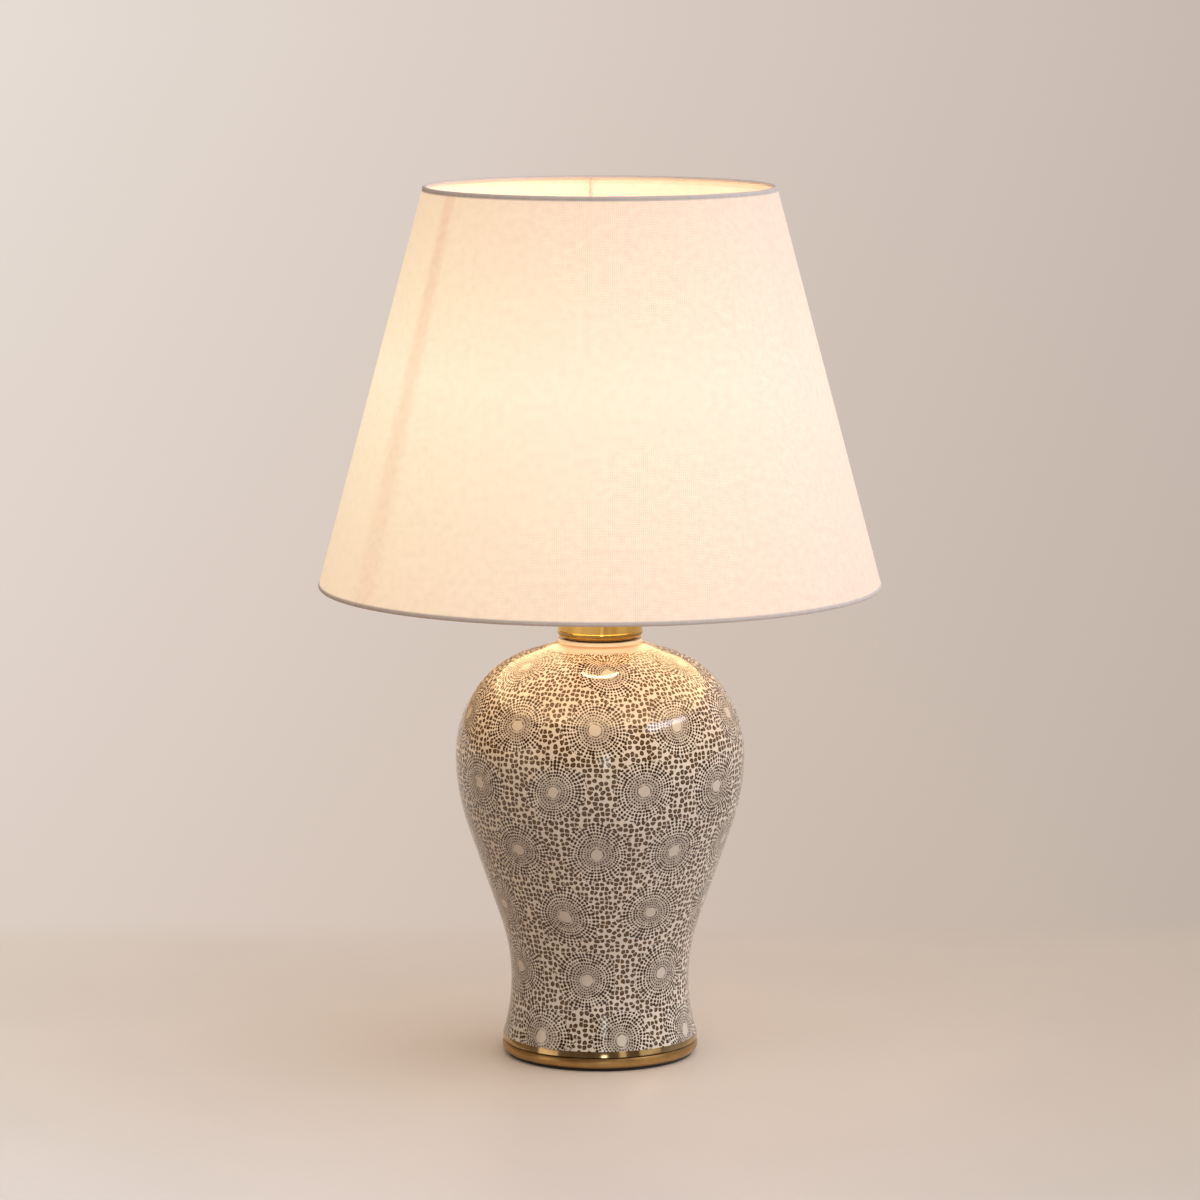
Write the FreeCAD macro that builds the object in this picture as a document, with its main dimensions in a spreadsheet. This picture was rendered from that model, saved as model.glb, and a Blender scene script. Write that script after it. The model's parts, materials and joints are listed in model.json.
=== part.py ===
import FreeCAD, Part
import math
import os

import Sketcher

# A table lamp: a hollow glazed vase on a brass foot, a brass cap on its neck, a screw lampholder
# with a globe bulb, and a tapered fabric shade on a wire frame that turns about the holder.
# Millimetres and degrees. +X is right, +Y is back, +Z is up; the origin is under the felt pad.

LENGTHS = {
    "overrun": 2.0,
    # Clearances
    "running_clearance": 0.05,
    "seat_clearance": 0.1,
    "thread_clearance": 0.15,
    # Felt pad
    "felt_thickness": 2.0,
    "felt_overhang": 0.3,
    # Brass foot
    "foot_height": 8.1,
    "foot_projection": 0.46,
    "foot_edge_rounding": 4.0,
    "foot_top_step": 1.1,
    "foot_rim_width": 9.1,
    "foot_wall": 1.5,
    "foot_riser_gap": 8.0,
    "foot_riser_height": 5.9,
    # Cord bush in the back of the foot
    "bush_width": 8.4,
    "bush_edge": 0.7,
    "bush_wall": 1.0,
    "bush_nose": 0.8,
    "bush_flange_thickness": 1.2,
    "bush_flange_width": 0.4,
    # Gaskets
    "foot_gasket_thickness": 0.4,
    "neck_gasket_thickness": 0.8,
    "gasket_setback": 0.4,
    "neck_gasket_width": 3.5,
    # Vase
    "vase_radius": 103.1,
    "vase_wall": 5.0,
    "widest_rise": 163.0,
    "waist_radius": 63.7,
    "waist_height": 43.7,
    "band_height": 4.3,
    "rim_width": 9.6,
    "recess_depth": 8.5,
    "floor_thickness": 6.0,
    "neck_radius": 30.0,
    "neck_bore_radius": 20.0,
    "neck_fillet": 3.2,
    "neck_lip": 0.3,
    "neck_length": 0.7,
    # Threaded tie rod with its nuts and washers
    "rod_radius": 5.0,
    "rod_bore_radius": 4.0,
    "rod_chamfer": 0.5,
    "rod_hole_clearance": 0.3,
    "rod_stick_out": 0.7,
    "rod_top_gap": 2.4,
    "clamp_washer_radius": 15.0,
    "clamp_washer_thickness": 1.5,
    "lock_washer_radius": 8.5,
    "lock_washer_thickness": 0.8,
    "lock_washer_slit": 1.2,
    "bottom_nut_flats": 14.0,
    "bottom_nut_height": 3.5,
    "top_nut_radius": 9.5,
    "top_nut_height": 3.5,
    "top_nut_chamfer": 0.6,
    # Brass cap over the neck
    "cap_overhang": 0.4,
    "cap_height": 19.77,
    "cap_wall": 1.2,
    "cap_foot_width": 2.5,
    "cap_bead": 4.2,
    "cap_bead_step": 0.3,
    "cap_rounding": 3.0,
    # Lampholder
    "holder_wall": 1.8,
    "holder_cap_height": 25.5,
    "holder_neck_radius": 9.0,
    "holder_neck_height": 6.0,
    "holder_shelf_width": 2.7,
    "insert_thickness": 8.0,
    "insert_wire_hole_radius": 2.0,
    "insert_wire_hole_place": 11.0,
    "grub_screw_radius": 1.5,
    "grub_screw_socket_radius": 0.8,
    "grub_screw_socket_depth": 1.6,
    "terminal_place": 9.5,
    "terminal_screw_radius": 1.4,
    "terminal_head_radius": 2.2,
    "terminal_head_height": 1.6,
    "terminal_screw_length": 7.0,
    "contact_thickness": 0.4,
    "contact_width": 5.0,
    "contact_rise": 2.0,
    "contact_crest": 3.0,
    "contact_ramp": 2.0,
    "contact_end": 3.5,
    "side_contact_gap": 0.5,
    "side_contact_room": 1.45,
    "side_contact_end_gap": 0.6,
    "skirt_collar": 3.0,
    "skirt_thread_stand": 0.6,
    "skirt_thread_depth": 0.7,
    "skirt_thread_pitch": 2.0,
    "skirt_spigot": 5.0,
    "skirt_spigot_wall": 1.7,
    "skirt_bore_clearance": 0.3,
    "skirt_bore_start": 6.5,
    "skirt_mouth": 3.0,
    "skirt_mouth_chamfer": 1.2,
    # Two threaded rings that hold the shade's fitter
    "shade_ring_height": 3.9,
    "shade_ring_rise": 6.5,
    "lower_ring_width": 7.4,
    "upper_ring_width": 6.4,
    "shade_ring_chamfer": 0.8,
    "grip_notch_radius": 1.2,
    # Bulb
    "bulb_length": 108.0,
    "bulb_radius": 30.0,
    "tip_radius": 4.75,
    "tip_height": 2.0,
    "tip_rounding": 1.4,
    "insulator_nose_radius": 6.0,
    "insulator_nose_height": 4.1,
    "insulator_height": 5.4,
    "shell_radius": 13.05,
    "shell_bottom": 6.4,
    "shell_collar": 2.7,
    "shell_thread_start": 2.6,
    "shell_thread_pitch": 3.629,
    "shell_thread_depth": 0.75,
    "shell_wall": 0.85,
    "shell_rim": 0.6,
    "shell_rim_height": 0.8,
    "housing_neck_start": 8.0,
    "housing_step": 1.0,
    "dome_depth": 17.0,
    "housing_flare": 62.0,
    "housing_wall": 1.4,
    "housing_neck_wall": 1.55,
    "housing_funnel_start": 30.0,
    "dome_wall": 1.2,
    "board_inset": 3.4,
    "board_thickness": 1.4,
    "board_depth": 4.5,
    "board_ledge": 2.8,
    "board_ledge_height": 2.0,
    "chip_size": 3.0,
    "chip_height": 0.8,
    "chip_inset": 5.9,
    # Shade
    "shade_height": 284.0,
    "shade_bottom_radius": 200.0,
    "shade_top_radius": 125.1,
    "shade_drop": 22.9,
    "hem_radius": 1.8,
    "hem_step": 0.4,
    "fabric_thickness": 0.55,
    "liner_thickness": 0.35,
    "liner_inset": 4.5,
    "glue_gap": 0.05,
    "wire_clearance": 0.15,
    "fitter_clearance": 1.4,
    "fitter_width": 10.0,
    "fitter_thickness": 1.2,
    "arm_wire_radius": 1.25,
    "arm_setback": 0.6,
    "arm_bend": 10.0,
    "arm_end_gap": 1.0,
}

# What the vase's arcs are of the sizes that they follow: the straight taper of the way from waist
# to widest place, the belly's arc of both arcs there, shoulder and crown of the widest radius.
SHARES = {
    "taper_share": 0.424,
    "belly_arc_share": 0.543,
    "shoulder_arc_share": 0.794,
    "crown_arc_share": 0.66,
}

ANGLES = {
    "shoulder_turn": 34.5,
    "crown_turn": 72.1,
    "hem_tip_angle": 15.0,
    "arm_left_angle": 213.0,
    "arm_right_angle": 333.0,
    "arm_back_angle": 93.0,
}

SKIRT_THREAD_TURNS = 8
SHELL_THREAD_TURNS = 4
GRIP_NOTCHES = 24
LED_CHIPS = 8
NUT_SIDES = 6
NUT_START = 0.25
TERMINAL_SCREWS = 2
THREAD_CREST_SHARES = (0.4, 0.6)

LEFT = 1
RIGHT = -1

doc = FreeCAD.newDocument("table_lamp")
sheet = doc.addObject("Spreadsheet::Sheet", "Sizes")
subparts = []


def number(amount):
    return amount.value if isinstance(amount, Size) else amount


def formula(amount):
    return amount.formula if isinstance(amount, Size) else repr(amount)


class Size:
    """A number that keeps the sheet formula it comes from."""

    def __init__(self, value, words):
        self.value = value
        self.formula = words

    def __add__(self, other):
        return Size(self.value + number(other), f"({self.formula} + {formula(other)})")

    def __sub__(self, other):
        return Size(self.value - number(other), f"({self.formula} - {formula(other)})")

    def __mul__(self, other):
        return Size(self.value * number(other), f"({self.formula} * {formula(other)})")

    def __truediv__(self, other):
        return Size(self.value / number(other), f"({self.formula} / {formula(other)})")

    def __rmul__(self, other):
        return Size(other * self.value, f"({formula(other)} * {self.formula})")

    def __rsub__(self, other):
        return Size(other - self.value, f"({formula(other)} - {self.formula})")

    def __neg__(self):
        return Size(-self.value, f"(-{self.formula})")


def root(area):
    return Size(math.sqrt(area.value), f"sqrt({area.formula})")


def cosine(angle):
    return Size(math.cos(math.radians(angle.value)), f"cos({angle.formula})")


def sine(angle):
    return Size(math.sin(math.radians(angle.value)), f"sin({angle.formula})")


def angle_towards(across, along):
    value = math.degrees(math.atan2(along.value, across.value))
    return Size(value, f"(atan2({along.formula}; {across.formula}) / 1deg)")


class Dimensions:
    """Every cell of the sheet under its own name, given or worked out."""

    def __init__(self):
        self.cells = 0

    def put(self, name, content, value):
        self.cells += 1
        sheet.set(f"A{self.cells}", name)
        sheet.set(f"B{self.cells}", content)
        sheet.setAlias(f"B{self.cells}", name)
        setattr(self, name, Size(value, f"Sizes.{name}"))

    def derive(self, name, size):
        self.put(name, "=" + size.formula.replace("Sizes.", ""), size.value)


lamp = Dimensions()
for given in (LENGTHS, SHARES, ANGLES):
    for size_name, size_value in given.items():
        lamp.put(size_name, str(size_value), size_value)


def level_sizes():
    """Heights above the table up to the vase's widest place, each standing on the piece below."""
    lamp.derive("foot_top", lamp.felt_thickness + lamp.foot_height)
    lamp.derive("web_top", lamp.foot_top + lamp.foot_riser_height)
    lamp.derive("web_bottom", lamp.web_top - lamp.foot_wall)
    lamp.derive("vase_bottom", lamp.foot_top + lamp.foot_gasket_thickness)
    lamp.derive("band_top", lamp.vase_bottom + lamp.band_height)
    lamp.derive("floor_bottom", lamp.vase_bottom + lamp.recess_depth)
    lamp.derive("floor_top", lamp.floor_bottom + lamp.floor_thickness)
    lamp.derive("waist_level", lamp.vase_bottom + lamp.waist_height)
    lamp.derive("widest_level", lamp.waist_level + lamp.widest_rise)


def stack_sizes():
    """Heights of what stands on the vase's neck, once the vase is known."""
    lamp.derive("cap_bottom", lamp.neck_top + lamp.neck_gasket_thickness)
    lamp.derive("cap_top", lamp.cap_bottom + lamp.cap_height)
    lamp.derive("holder_bottom", lamp.cap_top + lamp.top_nut_height)
    lamp.derive("skirt_bottom", lamp.holder_bottom + lamp.holder_cap_height)
    lamp.derive("insert_top", lamp.skirt_bottom - lamp.skirt_spigot - lamp.seat_clearance)
    lamp.derive("insert_bottom", lamp.insert_top - lamp.insert_thickness)
    lamp.derive("rod_top", lamp.insert_bottom - lamp.rod_top_gap)
    lamp.derive("skirt_bore_bottom", lamp.skirt_bottom + lamp.skirt_bore_start)
    lamp.derive("skirt_thread_bottom", lamp.skirt_bottom + lamp.skirt_collar)
    skirt_thread = SKIRT_THREAD_TURNS * lamp.skirt_thread_pitch
    lamp.derive("skirt_thread_top", lamp.skirt_thread_bottom + skirt_thread)
    lamp.derive("bulb_bottom", lamp.insert_top + lamp.contact_rise + lamp.seat_clearance)
    lamp.derive("lower_ring_bottom", lamp.skirt_bottom + lamp.shade_ring_rise)
    lamp.derive(
        "fitter_bottom", lamp.lower_ring_bottom + lamp.shade_ring_height + lamp.seat_clearance
    )
    lamp.derive("fitter_top", lamp.fitter_bottom + lamp.fitter_thickness)
    lamp.derive("upper_ring_bottom", lamp.fitter_top + lamp.seat_clearance)
    lamp.derive("shade_bottom", lamp.fitter_bottom - lamp.shade_drop)
    lamp.derive("shade_top", lamp.shade_bottom + lamp.shade_height)


def vase_sizes():
    """The vase's arcs with their centres, and the lean of the straight taper between belly and waist.

    The two arcs and the taper that touches both span the given rise and widening, which gives the
    sum of the arcs' radii and the lean.
    """
    widening = lamp.vase_radius - lamp.waist_radius
    rise = lamp.widest_rise
    straight = widening * widening + rise * rise
    taper = lamp.taper_share * root(straight)
    lamp.derive("both_arcs", (straight - taper * taper) / (2 * widening))
    lamp.derive("belly_arc", lamp.belly_arc_share * lamp.both_arcs)
    lamp.derive("waist_arc", lamp.both_arcs - lamp.belly_arc)
    lamp.derive("shoulder_arc", lamp.shoulder_arc_share * lamp.vase_radius)
    lamp.derive("crown_arc", lamp.crown_arc_share * lamp.vase_radius)
    lamp.derive("belly_centre", lamp.vase_radius - lamp.belly_arc)
    lamp.derive("waist_centre", lamp.waist_radius + lamp.waist_arc)
    lamp.derive("shoulder_centre", lamp.vase_radius - lamp.shoulder_arc)
    lean = angle_towards(taper, lamp.both_arcs) - angle_towards(rise, lamp.both_arcs - widening)
    lamp.derive("taper_lean", lean)
    arc_step = lamp.shoulder_arc - lamp.crown_arc
    lamp.derive("crown_centre", lamp.shoulder_centre + arc_step * cosine(lamp.shoulder_turn))
    lamp.derive("crown_level", lamp.widest_level + arc_step * sine(lamp.shoulder_turn))
    lamp.derive("vase_base_radius", waist_curve(lamp.band_top, 0))
    lamp.derive("recess_radius", lamp.vase_base_radius - lamp.rim_width)
    lamp.derive("neck_slope", cosine(lamp.crown_turn) / sine(lamp.crown_turn))
    crown_end_radius = lamp.crown_centre + lamp.crown_arc * cosine(lamp.crown_turn)
    crown_end = lamp.crown_level + lamp.crown_arc * sine(lamp.crown_turn)
    neck_root = crown_end + (crown_end_radius - lamp.neck_radius) * lamp.neck_slope
    lamp.derive("neck_root", neck_root)
    tangent = lamp.neck_fillet * sine(lamp.crown_turn) / (cosine(lamp.crown_turn) + 1)
    lamp.derive("neck_tangent", tangent)
    lamp.derive("neck_top", lamp.neck_root + lamp.neck_tangent + lamp.neck_length)
    lamp.derive("foot_radius", lamp.vase_base_radius + lamp.foot_projection)
    lamp.derive("foot_top_radius", lamp.foot_radius - lamp.foot_top_step)
    lamp.derive("foot_riser_radius", lamp.recess_radius - lamp.foot_riser_gap)
    hollow = lamp.foot_height - lamp.foot_wall
    lamp.derive("bush_height", hollow - 2 * lamp.bush_edge)
    lamp.derive("bush_level", lamp.felt_thickness + hollow / 2)
    lamp.derive("cap_radius", lamp.neck_radius + lamp.cap_overhang)


def waist_curve(level, inset):
    """Radius of the vase's concave lower part at a level."""
    arc = lamp.waist_arc + inset
    below = lamp.waist_level - level
    return lamp.waist_centre - root(arc * arc - below * below)


def holder_sizes():
    """Radii that the pieces of the holder, the bulb and the fitter share."""
    lamp.derive("rod_hole_radius", lamp.rod_radius + lamp.rod_hole_clearance)
    lamp.derive("thread_bore_radius", lamp.rod_radius + lamp.running_clearance)
    contact_outside = lamp.shell_radius + lamp.side_contact_gap + lamp.contact_thickness
    lamp.derive("skirt_spigot_inside", contact_outside + lamp.side_contact_room)
    lamp.derive("skirt_spigot_radius", lamp.skirt_spigot_inside + lamp.skirt_spigot_wall)
    lamp.derive("holder_inside", lamp.skirt_spigot_radius + lamp.seat_clearance)
    lamp.derive("holder_radius", lamp.holder_inside + lamp.holder_wall)
    lamp.derive("skirt_thread_radius", lamp.holder_radius + lamp.skirt_thread_stand)
    lamp.derive("lower_ring_radius", lamp.skirt_thread_radius + lamp.lower_ring_width)
    lamp.derive("upper_ring_radius", lamp.skirt_thread_radius + lamp.upper_ring_width)
    lamp.derive("fitter_hole_radius", lamp.skirt_thread_radius + lamp.fitter_clearance)
    lamp.derive("fitter_radius", lamp.fitter_hole_radius + lamp.fitter_width)
    lamp.derive("insert_radius", lamp.skirt_spigot_radius - lamp.seat_clearance)
    lamp.derive("shell_root_radius", lamp.shell_radius - lamp.shell_thread_depth)
    lamp.derive("shell_inside", lamp.shell_root_radius - lamp.shell_wall)
    lamp.derive("insulator_radius", lamp.shell_inside - lamp.thread_clearance)
    lamp.derive("shell_rim_radius", lamp.shell_root_radius + lamp.shell_rim)
    shell_thread = SHELL_THREAD_TURNS * lamp.shell_thread_pitch
    lamp.derive("shell_height", lamp.shell_thread_start + shell_thread + lamp.shell_collar)
    lamp.derive("skirt_bore_radius", lamp.shell_radius + lamp.skirt_bore_clearance)
    lamp.derive("shade_ring_bore_radius", lamp.skirt_thread_radius + lamp.thread_clearance)
    lamp.derive("globe_centre", lamp.bulb_bottom + lamp.bulb_length - lamp.bulb_radius)
    lamp.derive("housing_rim", lamp.globe_centre - lamp.dome_depth)
    lamp.derive(
        "dome_rim_radius",
        root(lamp.bulb_radius * lamp.bulb_radius - lamp.dome_depth * lamp.dome_depth),
    )


def shade_sizes():
    """Places of the two wire rings and the direction of the cone between them."""
    lamp.derive("top_ring_radius", lamp.shade_top_radius - lamp.hem_radius)
    lamp.derive("top_ring_level", lamp.shade_top - lamp.hem_radius)
    lamp.derive("bottom_ring_radius", lamp.shade_bottom_radius - lamp.hem_radius)
    lamp.derive("bottom_ring_level", lamp.shade_bottom + lamp.hem_radius)
    run = lamp.bottom_ring_radius - lamp.top_ring_radius
    rise = lamp.top_ring_level - lamp.bottom_ring_level
    lamp.derive("slant", root(run * run + rise * rise))
    lamp.derive("lean_share", run / lamp.slant)
    lamp.derive("upright_share", rise / lamp.slant)
    lamp.derive("hem_bore_radius", lamp.hem_radius - lamp.fabric_thickness)
    lamp.derive("ring_wire_radius", lamp.hem_bore_radius - lamp.wire_clearance)
    lamp.derive("fabric_outside", lamp.hem_radius - lamp.hem_step)
    lamp.derive("fabric_inside", lamp.fabric_outside - lamp.fabric_thickness)
    lamp.derive("liner_outside", lamp.fabric_inside - lamp.glue_gap)
    lamp.derive("arm_radius", lamp.top_ring_radius - lamp.arm_setback)
    lamp.derive("arm_level", lamp.fitter_top + lamp.running_clearance + lamp.arm_wire_radius)


level_sizes()
vase_sizes()
stack_sizes()
holder_sizes()
shade_sizes()
doc.recompute()


def bind(thing, place, size):
    """Tie a property or constraint to the sheet; a plain zero stays as it is."""
    if isinstance(size, Size):
        thing.setExpression(place, size.formula)


def new_subpart(kind, name):
    subpart = doc.addObject(kind, name)
    subpart.Label = name
    subparts.append(subpart)
    return subpart


def new_body(name):
    return new_subpart("PartDesign::Body", name)


def origin_feature(body, role):
    return next(item for item in body.Origin.OriginFeatures if item.Role == role)


def new_sketch(body, name, plane, depth=0):
    """Sketch on a plane through the origin, moved along the plane's own normal by depth."""
    sketch = body.newObject("Sketcher::SketchObject", name)
    sketch.AttachmentSupport = [(origin_feature(body, plane), "")]
    sketch.MapMode = "FlatFace"
    bind(sketch, ".AttachmentOffset.Base.z", depth)
    return sketch


def fix_point(sketch, geometry, point, x, y):
    """Hold a sketch point at x, y; a zero holds it on the axis."""
    for direction, axis, amount in (("DistanceX", -2, x), ("DistanceY", -1, y)):
        if isinstance(amount, Size):
            limit = Sketcher.Constraint(direction, -1, 1, geometry, point, amount.value)
            bind(sketch, f"Constraints[{sketch.addConstraint(limit)}]", amount)
        else:
            sketch.addConstraint(Sketcher.Constraint("PointOnObject", geometry, point, axis))


def fix_radius(sketch, geometry, radius):
    limit = Sketcher.Constraint("Radius", geometry, radius.value)
    bind(sketch, f"Constraints[{sketch.addConstraint(limit)}]", radius)


def arc_between(start, end, radius, turn):
    """Arc of under half a circle that turns left or right on its way from start to end."""
    chord = end - start
    reach = math.sqrt(radius ** 2 - (chord.Length / 2) ** 2)
    sideways = FreeCAD.Vector(-chord.y, chord.x, 0).normalize() * (turn * reach)
    centre = (start + end) / 2 + sideways
    first, last = (start, end) if turn == LEFT else (end, start)
    first_angle = math.atan2(first.y - centre.y, first.x - centre.x)
    last_angle = math.atan2(last.y - centre.y, last.x - centre.x)
    if last_angle < first_angle:
        last_angle += math.tau
    circle = Part.Circle(centre, FreeCAD.Vector(0, 0, 1), radius)
    return Part.ArcOfCircle(circle, first_angle, last_angle)


def draw(sketch, corners, closed=True):
    """Draw lines and arcs through the corners.

    A corner is (x, y), or (x, y, radius, turn) where an arc leads to it.
    """
    sides = []
    for number_of_corner, corner in enumerate(corners):
        if number_of_corner == 0 and not closed:
            continue
        before = corners[number_of_corner - 1]
        start = FreeCAD.Vector(number(before[0]), number(before[1]), 0)
        end = FreeCAD.Vector(number(corner[0]), number(corner[1]), 0)
        if len(corner) == 2:
            geometry = sketch.addGeometry(Part.LineSegment(start, end), False)
            sides.append((geometry, 1, 2))
        else:
            radius, turn = corner[2:]
            arc = arc_between(start, end, radius.value, turn)
            geometry = sketch.addGeometry(arc, False)
            sides.append((geometry, 1, 2) if turn == LEFT else (geometry, 2, 1))
            fix_radius(sketch, geometry, radius)
        fix_point(sketch, geometry, sides[-1][2], corner[0], corner[1])
    for side, (geometry, first, last) in enumerate(sides):
        if side == 0 and not closed:
            fix_point(sketch, geometry, first, corners[0][0], corners[0][1])
            continue
        before, _, before_last = sides[side - 1]
        sketch.addConstraint(
            Sketcher.Constraint("Coincident", before, before_last, geometry, first)
        )


def draw_circle(sketch, x, y, radius):
    centre = FreeCAD.Vector(number(x), number(y), 0)
    circle = Part.Circle(centre, FreeCAD.Vector(0, 0, 1), radius.value)
    geometry = sketch.addGeometry(circle, False)
    fix_point(sketch, geometry, 3, x, y)
    fix_radius(sketch, geometry, radius)


def way_back(corners):
    """The same corners and arcs, walked from the last to the first."""
    path = []
    for corner, after in zip(reversed(corners), [None] + list(reversed(corners))):
        if after is None or len(after) == 2:
            path.append(corner[:2])
        else:
            path.append((corner[0], corner[1], after[2], -after[3]))
    return path


def slot_corners(width, height, level):
    """An oblong with round ends, centred on the vertical axis at a level."""
    half = height / 2
    flat = (width - height) / 2
    return [
        (flat, level - half),
        (flat + half, level, half, LEFT),
        (flat, level + half, half, LEFT),
        (-flat, level + half),
        (-flat - half, level, half, LEFT),
        (-flat, level - half, half, LEFT),
    ]


def revolved(name, corners):
    """A body turned about the lamp's axis."""
    body = new_body(name)
    sketch = new_sketch(body, f"{name}_outline", "XZ_Plane")
    draw(sketch, corners)
    turned = body.newObject("PartDesign::Revolution", f"{name}_turned")
    turned.Profile = sketch
    turned.ReferenceAxis = (sketch, ["V_Axis"])
    turned.Angle = 360
    return body


def pad(body, sketch, length):
    feature = body.newObject("PartDesign::Pad", f"{sketch.Name}_pad")
    feature.Profile = sketch
    bind(feature, "Length", length)
    return feature


def pocket(body, sketch, length):
    """Cut from the sketch against its normal: down from a level, or back from the front."""
    feature = body.newObject("PartDesign::Pocket", f"{sketch.Name}_pocket")
    feature.Profile = sketch
    bind(feature, "Length", length)
    return feature


def around(body, feature, count):
    """Repeat a feature evenly about the lamp's axis."""
    pattern = body.newObject("PartDesign::PolarPattern", f"{feature.Name}_around")
    pattern.Originals = [feature]
    pattern.Axis = (origin_feature(body, "Z_Axis"), [""])
    pattern.Angle = 360
    pattern.Occurrences = count
    body.Tip = pattern
    return pattern


def ring_corners(inner, outer, bottom, top):
    return [(inner, bottom), (outer, bottom), (outer, top), (inner, top)]


def chamfered_ring_corners(inner, outer, bottom, top, chamfer):
    return [
        (inner, bottom),
        (outer - chamfer, bottom),
        (outer, bottom + chamfer),
        (outer, top - chamfer),
        (outer - chamfer, top),
        (inner, top),
    ]


def felt_pad():
    radius = lamp.foot_radius - lamp.foot_edge_rounding + lamp.felt_overhang
    revolved("felt_pad", [(0, 0), (radius, 0), (radius, lamp.felt_thickness), (0, lamp.felt_thickness)])


def foot():
    """Brass ring with a rounded edge, and a raised web inside the vase's recess for the tie rod."""
    underside = lamp.felt_thickness
    rim_inside = lamp.foot_radius - lamp.foot_rim_width
    step = lamp.foot_top_step
    rise = lamp.foot_height - lamp.foot_edge_rounding
    upper_arc = (step * step + rise * rise) / (2 * step)
    riser_inside = lamp.foot_riser_radius - lamp.foot_wall
    flange_bottom = lamp.foot_top - lamp.foot_wall
    body = revolved("foot", [
        (rim_inside, underside),
        (lamp.foot_radius - lamp.foot_edge_rounding, underside),
        (lamp.foot_radius, underside + lamp.foot_edge_rounding, lamp.foot_edge_rounding, LEFT),
        (lamp.foot_top_radius, lamp.foot_top, upper_arc, LEFT),
        (lamp.foot_riser_radius, lamp.foot_top),
        (lamp.foot_riser_radius, lamp.web_top),
        (lamp.rod_hole_radius, lamp.web_top),
        (lamp.rod_hole_radius, lamp.web_bottom),
        (riser_inside, lamp.web_bottom),
        (riser_inside, flange_bottom),
        (rim_inside, flange_bottom),
    ])
    opening = new_sketch(body, "bush_opening", "XZ_Plane")
    margin = 2 * lamp.running_clearance
    width = lamp.bush_width + margin
    draw(opening, slot_corners(width, lamp.bush_height + margin, lamp.bush_level))
    pocket(body, opening, lamp.foot_radius + lamp.overrun)


def cord_bush():
    """Oblong bush for a flat two-core lead, flanged on the inside of the foot's rim."""
    body = new_body("cord_bush")
    level = lamp.bush_level
    inside = lamp.foot_radius - lamp.foot_rim_width
    outside = lamp.foot_radius + lamp.bush_nose
    tube = new_sketch(body, "bush_tube", "XZ_Plane", -outside)
    draw(tube, slot_corners(lamp.bush_width, lamp.bush_height, level))
    pad(body, tube, lamp.foot_rim_width + lamp.bush_nose + lamp.bush_flange_thickness)
    margin = 2 * lamp.bush_flange_width
    flange_width = lamp.bush_width + margin
    seat = root(inside * inside - flange_width * flange_width / 4) - lamp.seat_clearance
    flange = new_sketch(body, "bush_flange", "XZ_Plane", -seat)
    draw(flange, slot_corners(flange_width, lamp.bush_height + margin, level))
    pad(body, flange, lamp.bush_flange_thickness)
    bore = new_sketch(body, "bush_bore", "XZ_Plane")
    wall = 2 * lamp.bush_wall
    draw(bore, slot_corners(lamp.bush_width - wall, lamp.bush_height - wall, level))
    pocket(body, bore, outside + lamp.overrun)


def foot_gasket():
    """Thin ring between foot and vase, set back so that it reads as a dark joint line."""
    revolved("foot_gasket", ring_corners(
        lamp.recess_radius + lamp.gasket_setback,
        lamp.foot_top_radius - lamp.gasket_setback,
        lamp.foot_top,
        lamp.vase_bottom,
    ))


def vase_side(inset):
    """The vase's side from the end of the waist arc up to the end of the crown arc.

    Inset moves every line and arc inwards, so the same walk gives the inside of the wall.
    """
    lean_across = cosine(lamp.taper_lean)
    lean_down = sine(lamp.taper_lean)
    waist = lamp.waist_arc + inset
    belly = lamp.belly_arc - inset
    shoulder = lamp.shoulder_arc - inset
    crown = lamp.crown_arc - inset
    return [
        (
            lamp.waist_centre - waist * lean_across,
            lamp.waist_level + waist * lean_down,
            waist,
            RIGHT,
        ),
        (lamp.belly_centre + belly * lean_across, lamp.widest_level - belly * lean_down),
        (lamp.vase_radius - inset, lamp.widest_level, belly, LEFT),
        (
            lamp.shoulder_centre + shoulder * cosine(lamp.shoulder_turn),
            lamp.widest_level + shoulder * sine(lamp.shoulder_turn),
            shoulder,
            LEFT,
        ),
        (
            lamp.crown_centre + crown * cosine(lamp.crown_turn),
            lamp.crown_level + crown * sine(lamp.crown_turn),
            crown,
            LEFT,
        ),
    ]


def ceramic_body():
    """Hollow thrown vase with a foot rim, a recessed floor and a short neck."""
    outside = vase_side(0)
    inside = vase_side(lamp.vase_wall)
    inner_end = inside[-1]
    bore_start = inner_end[1] + (inner_end[0] - lamp.neck_bore_radius) * lamp.neck_slope
    inner_side = [(waist_curve(lamp.floor_top, lamp.vase_wall), lamp.floor_top)] + inside
    revolved("ceramic_body", [
        (lamp.recess_radius, lamp.vase_bottom),
        (lamp.vase_base_radius, lamp.vase_bottom),
        (lamp.vase_base_radius, lamp.band_top),
        *outside,
        (
            lamp.neck_radius + lamp.neck_tangent * sine(lamp.crown_turn),
            lamp.neck_root - lamp.neck_tangent * cosine(lamp.crown_turn),
        ),
        (lamp.neck_radius, lamp.neck_root + lamp.neck_tangent, lamp.neck_fillet, RIGHT),
        (lamp.neck_radius, lamp.neck_top - lamp.neck_lip),
        (lamp.neck_radius - lamp.neck_lip, lamp.neck_top, lamp.neck_lip, LEFT),
        (lamp.neck_bore_radius, lamp.neck_top),
        (lamp.neck_bore_radius, bore_start),
        *way_back(inner_side),
        (lamp.rod_hole_radius, lamp.floor_top),
        (lamp.rod_hole_radius, lamp.floor_bottom),
        (lamp.recess_radius, lamp.floor_bottom),
    ])


def rod_bottom():
    washers = lamp.clamp_washer_thickness + lamp.lock_washer_thickness
    return lamp.web_bottom - washers - lamp.bottom_nut_height - lamp.rod_stick_out


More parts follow.
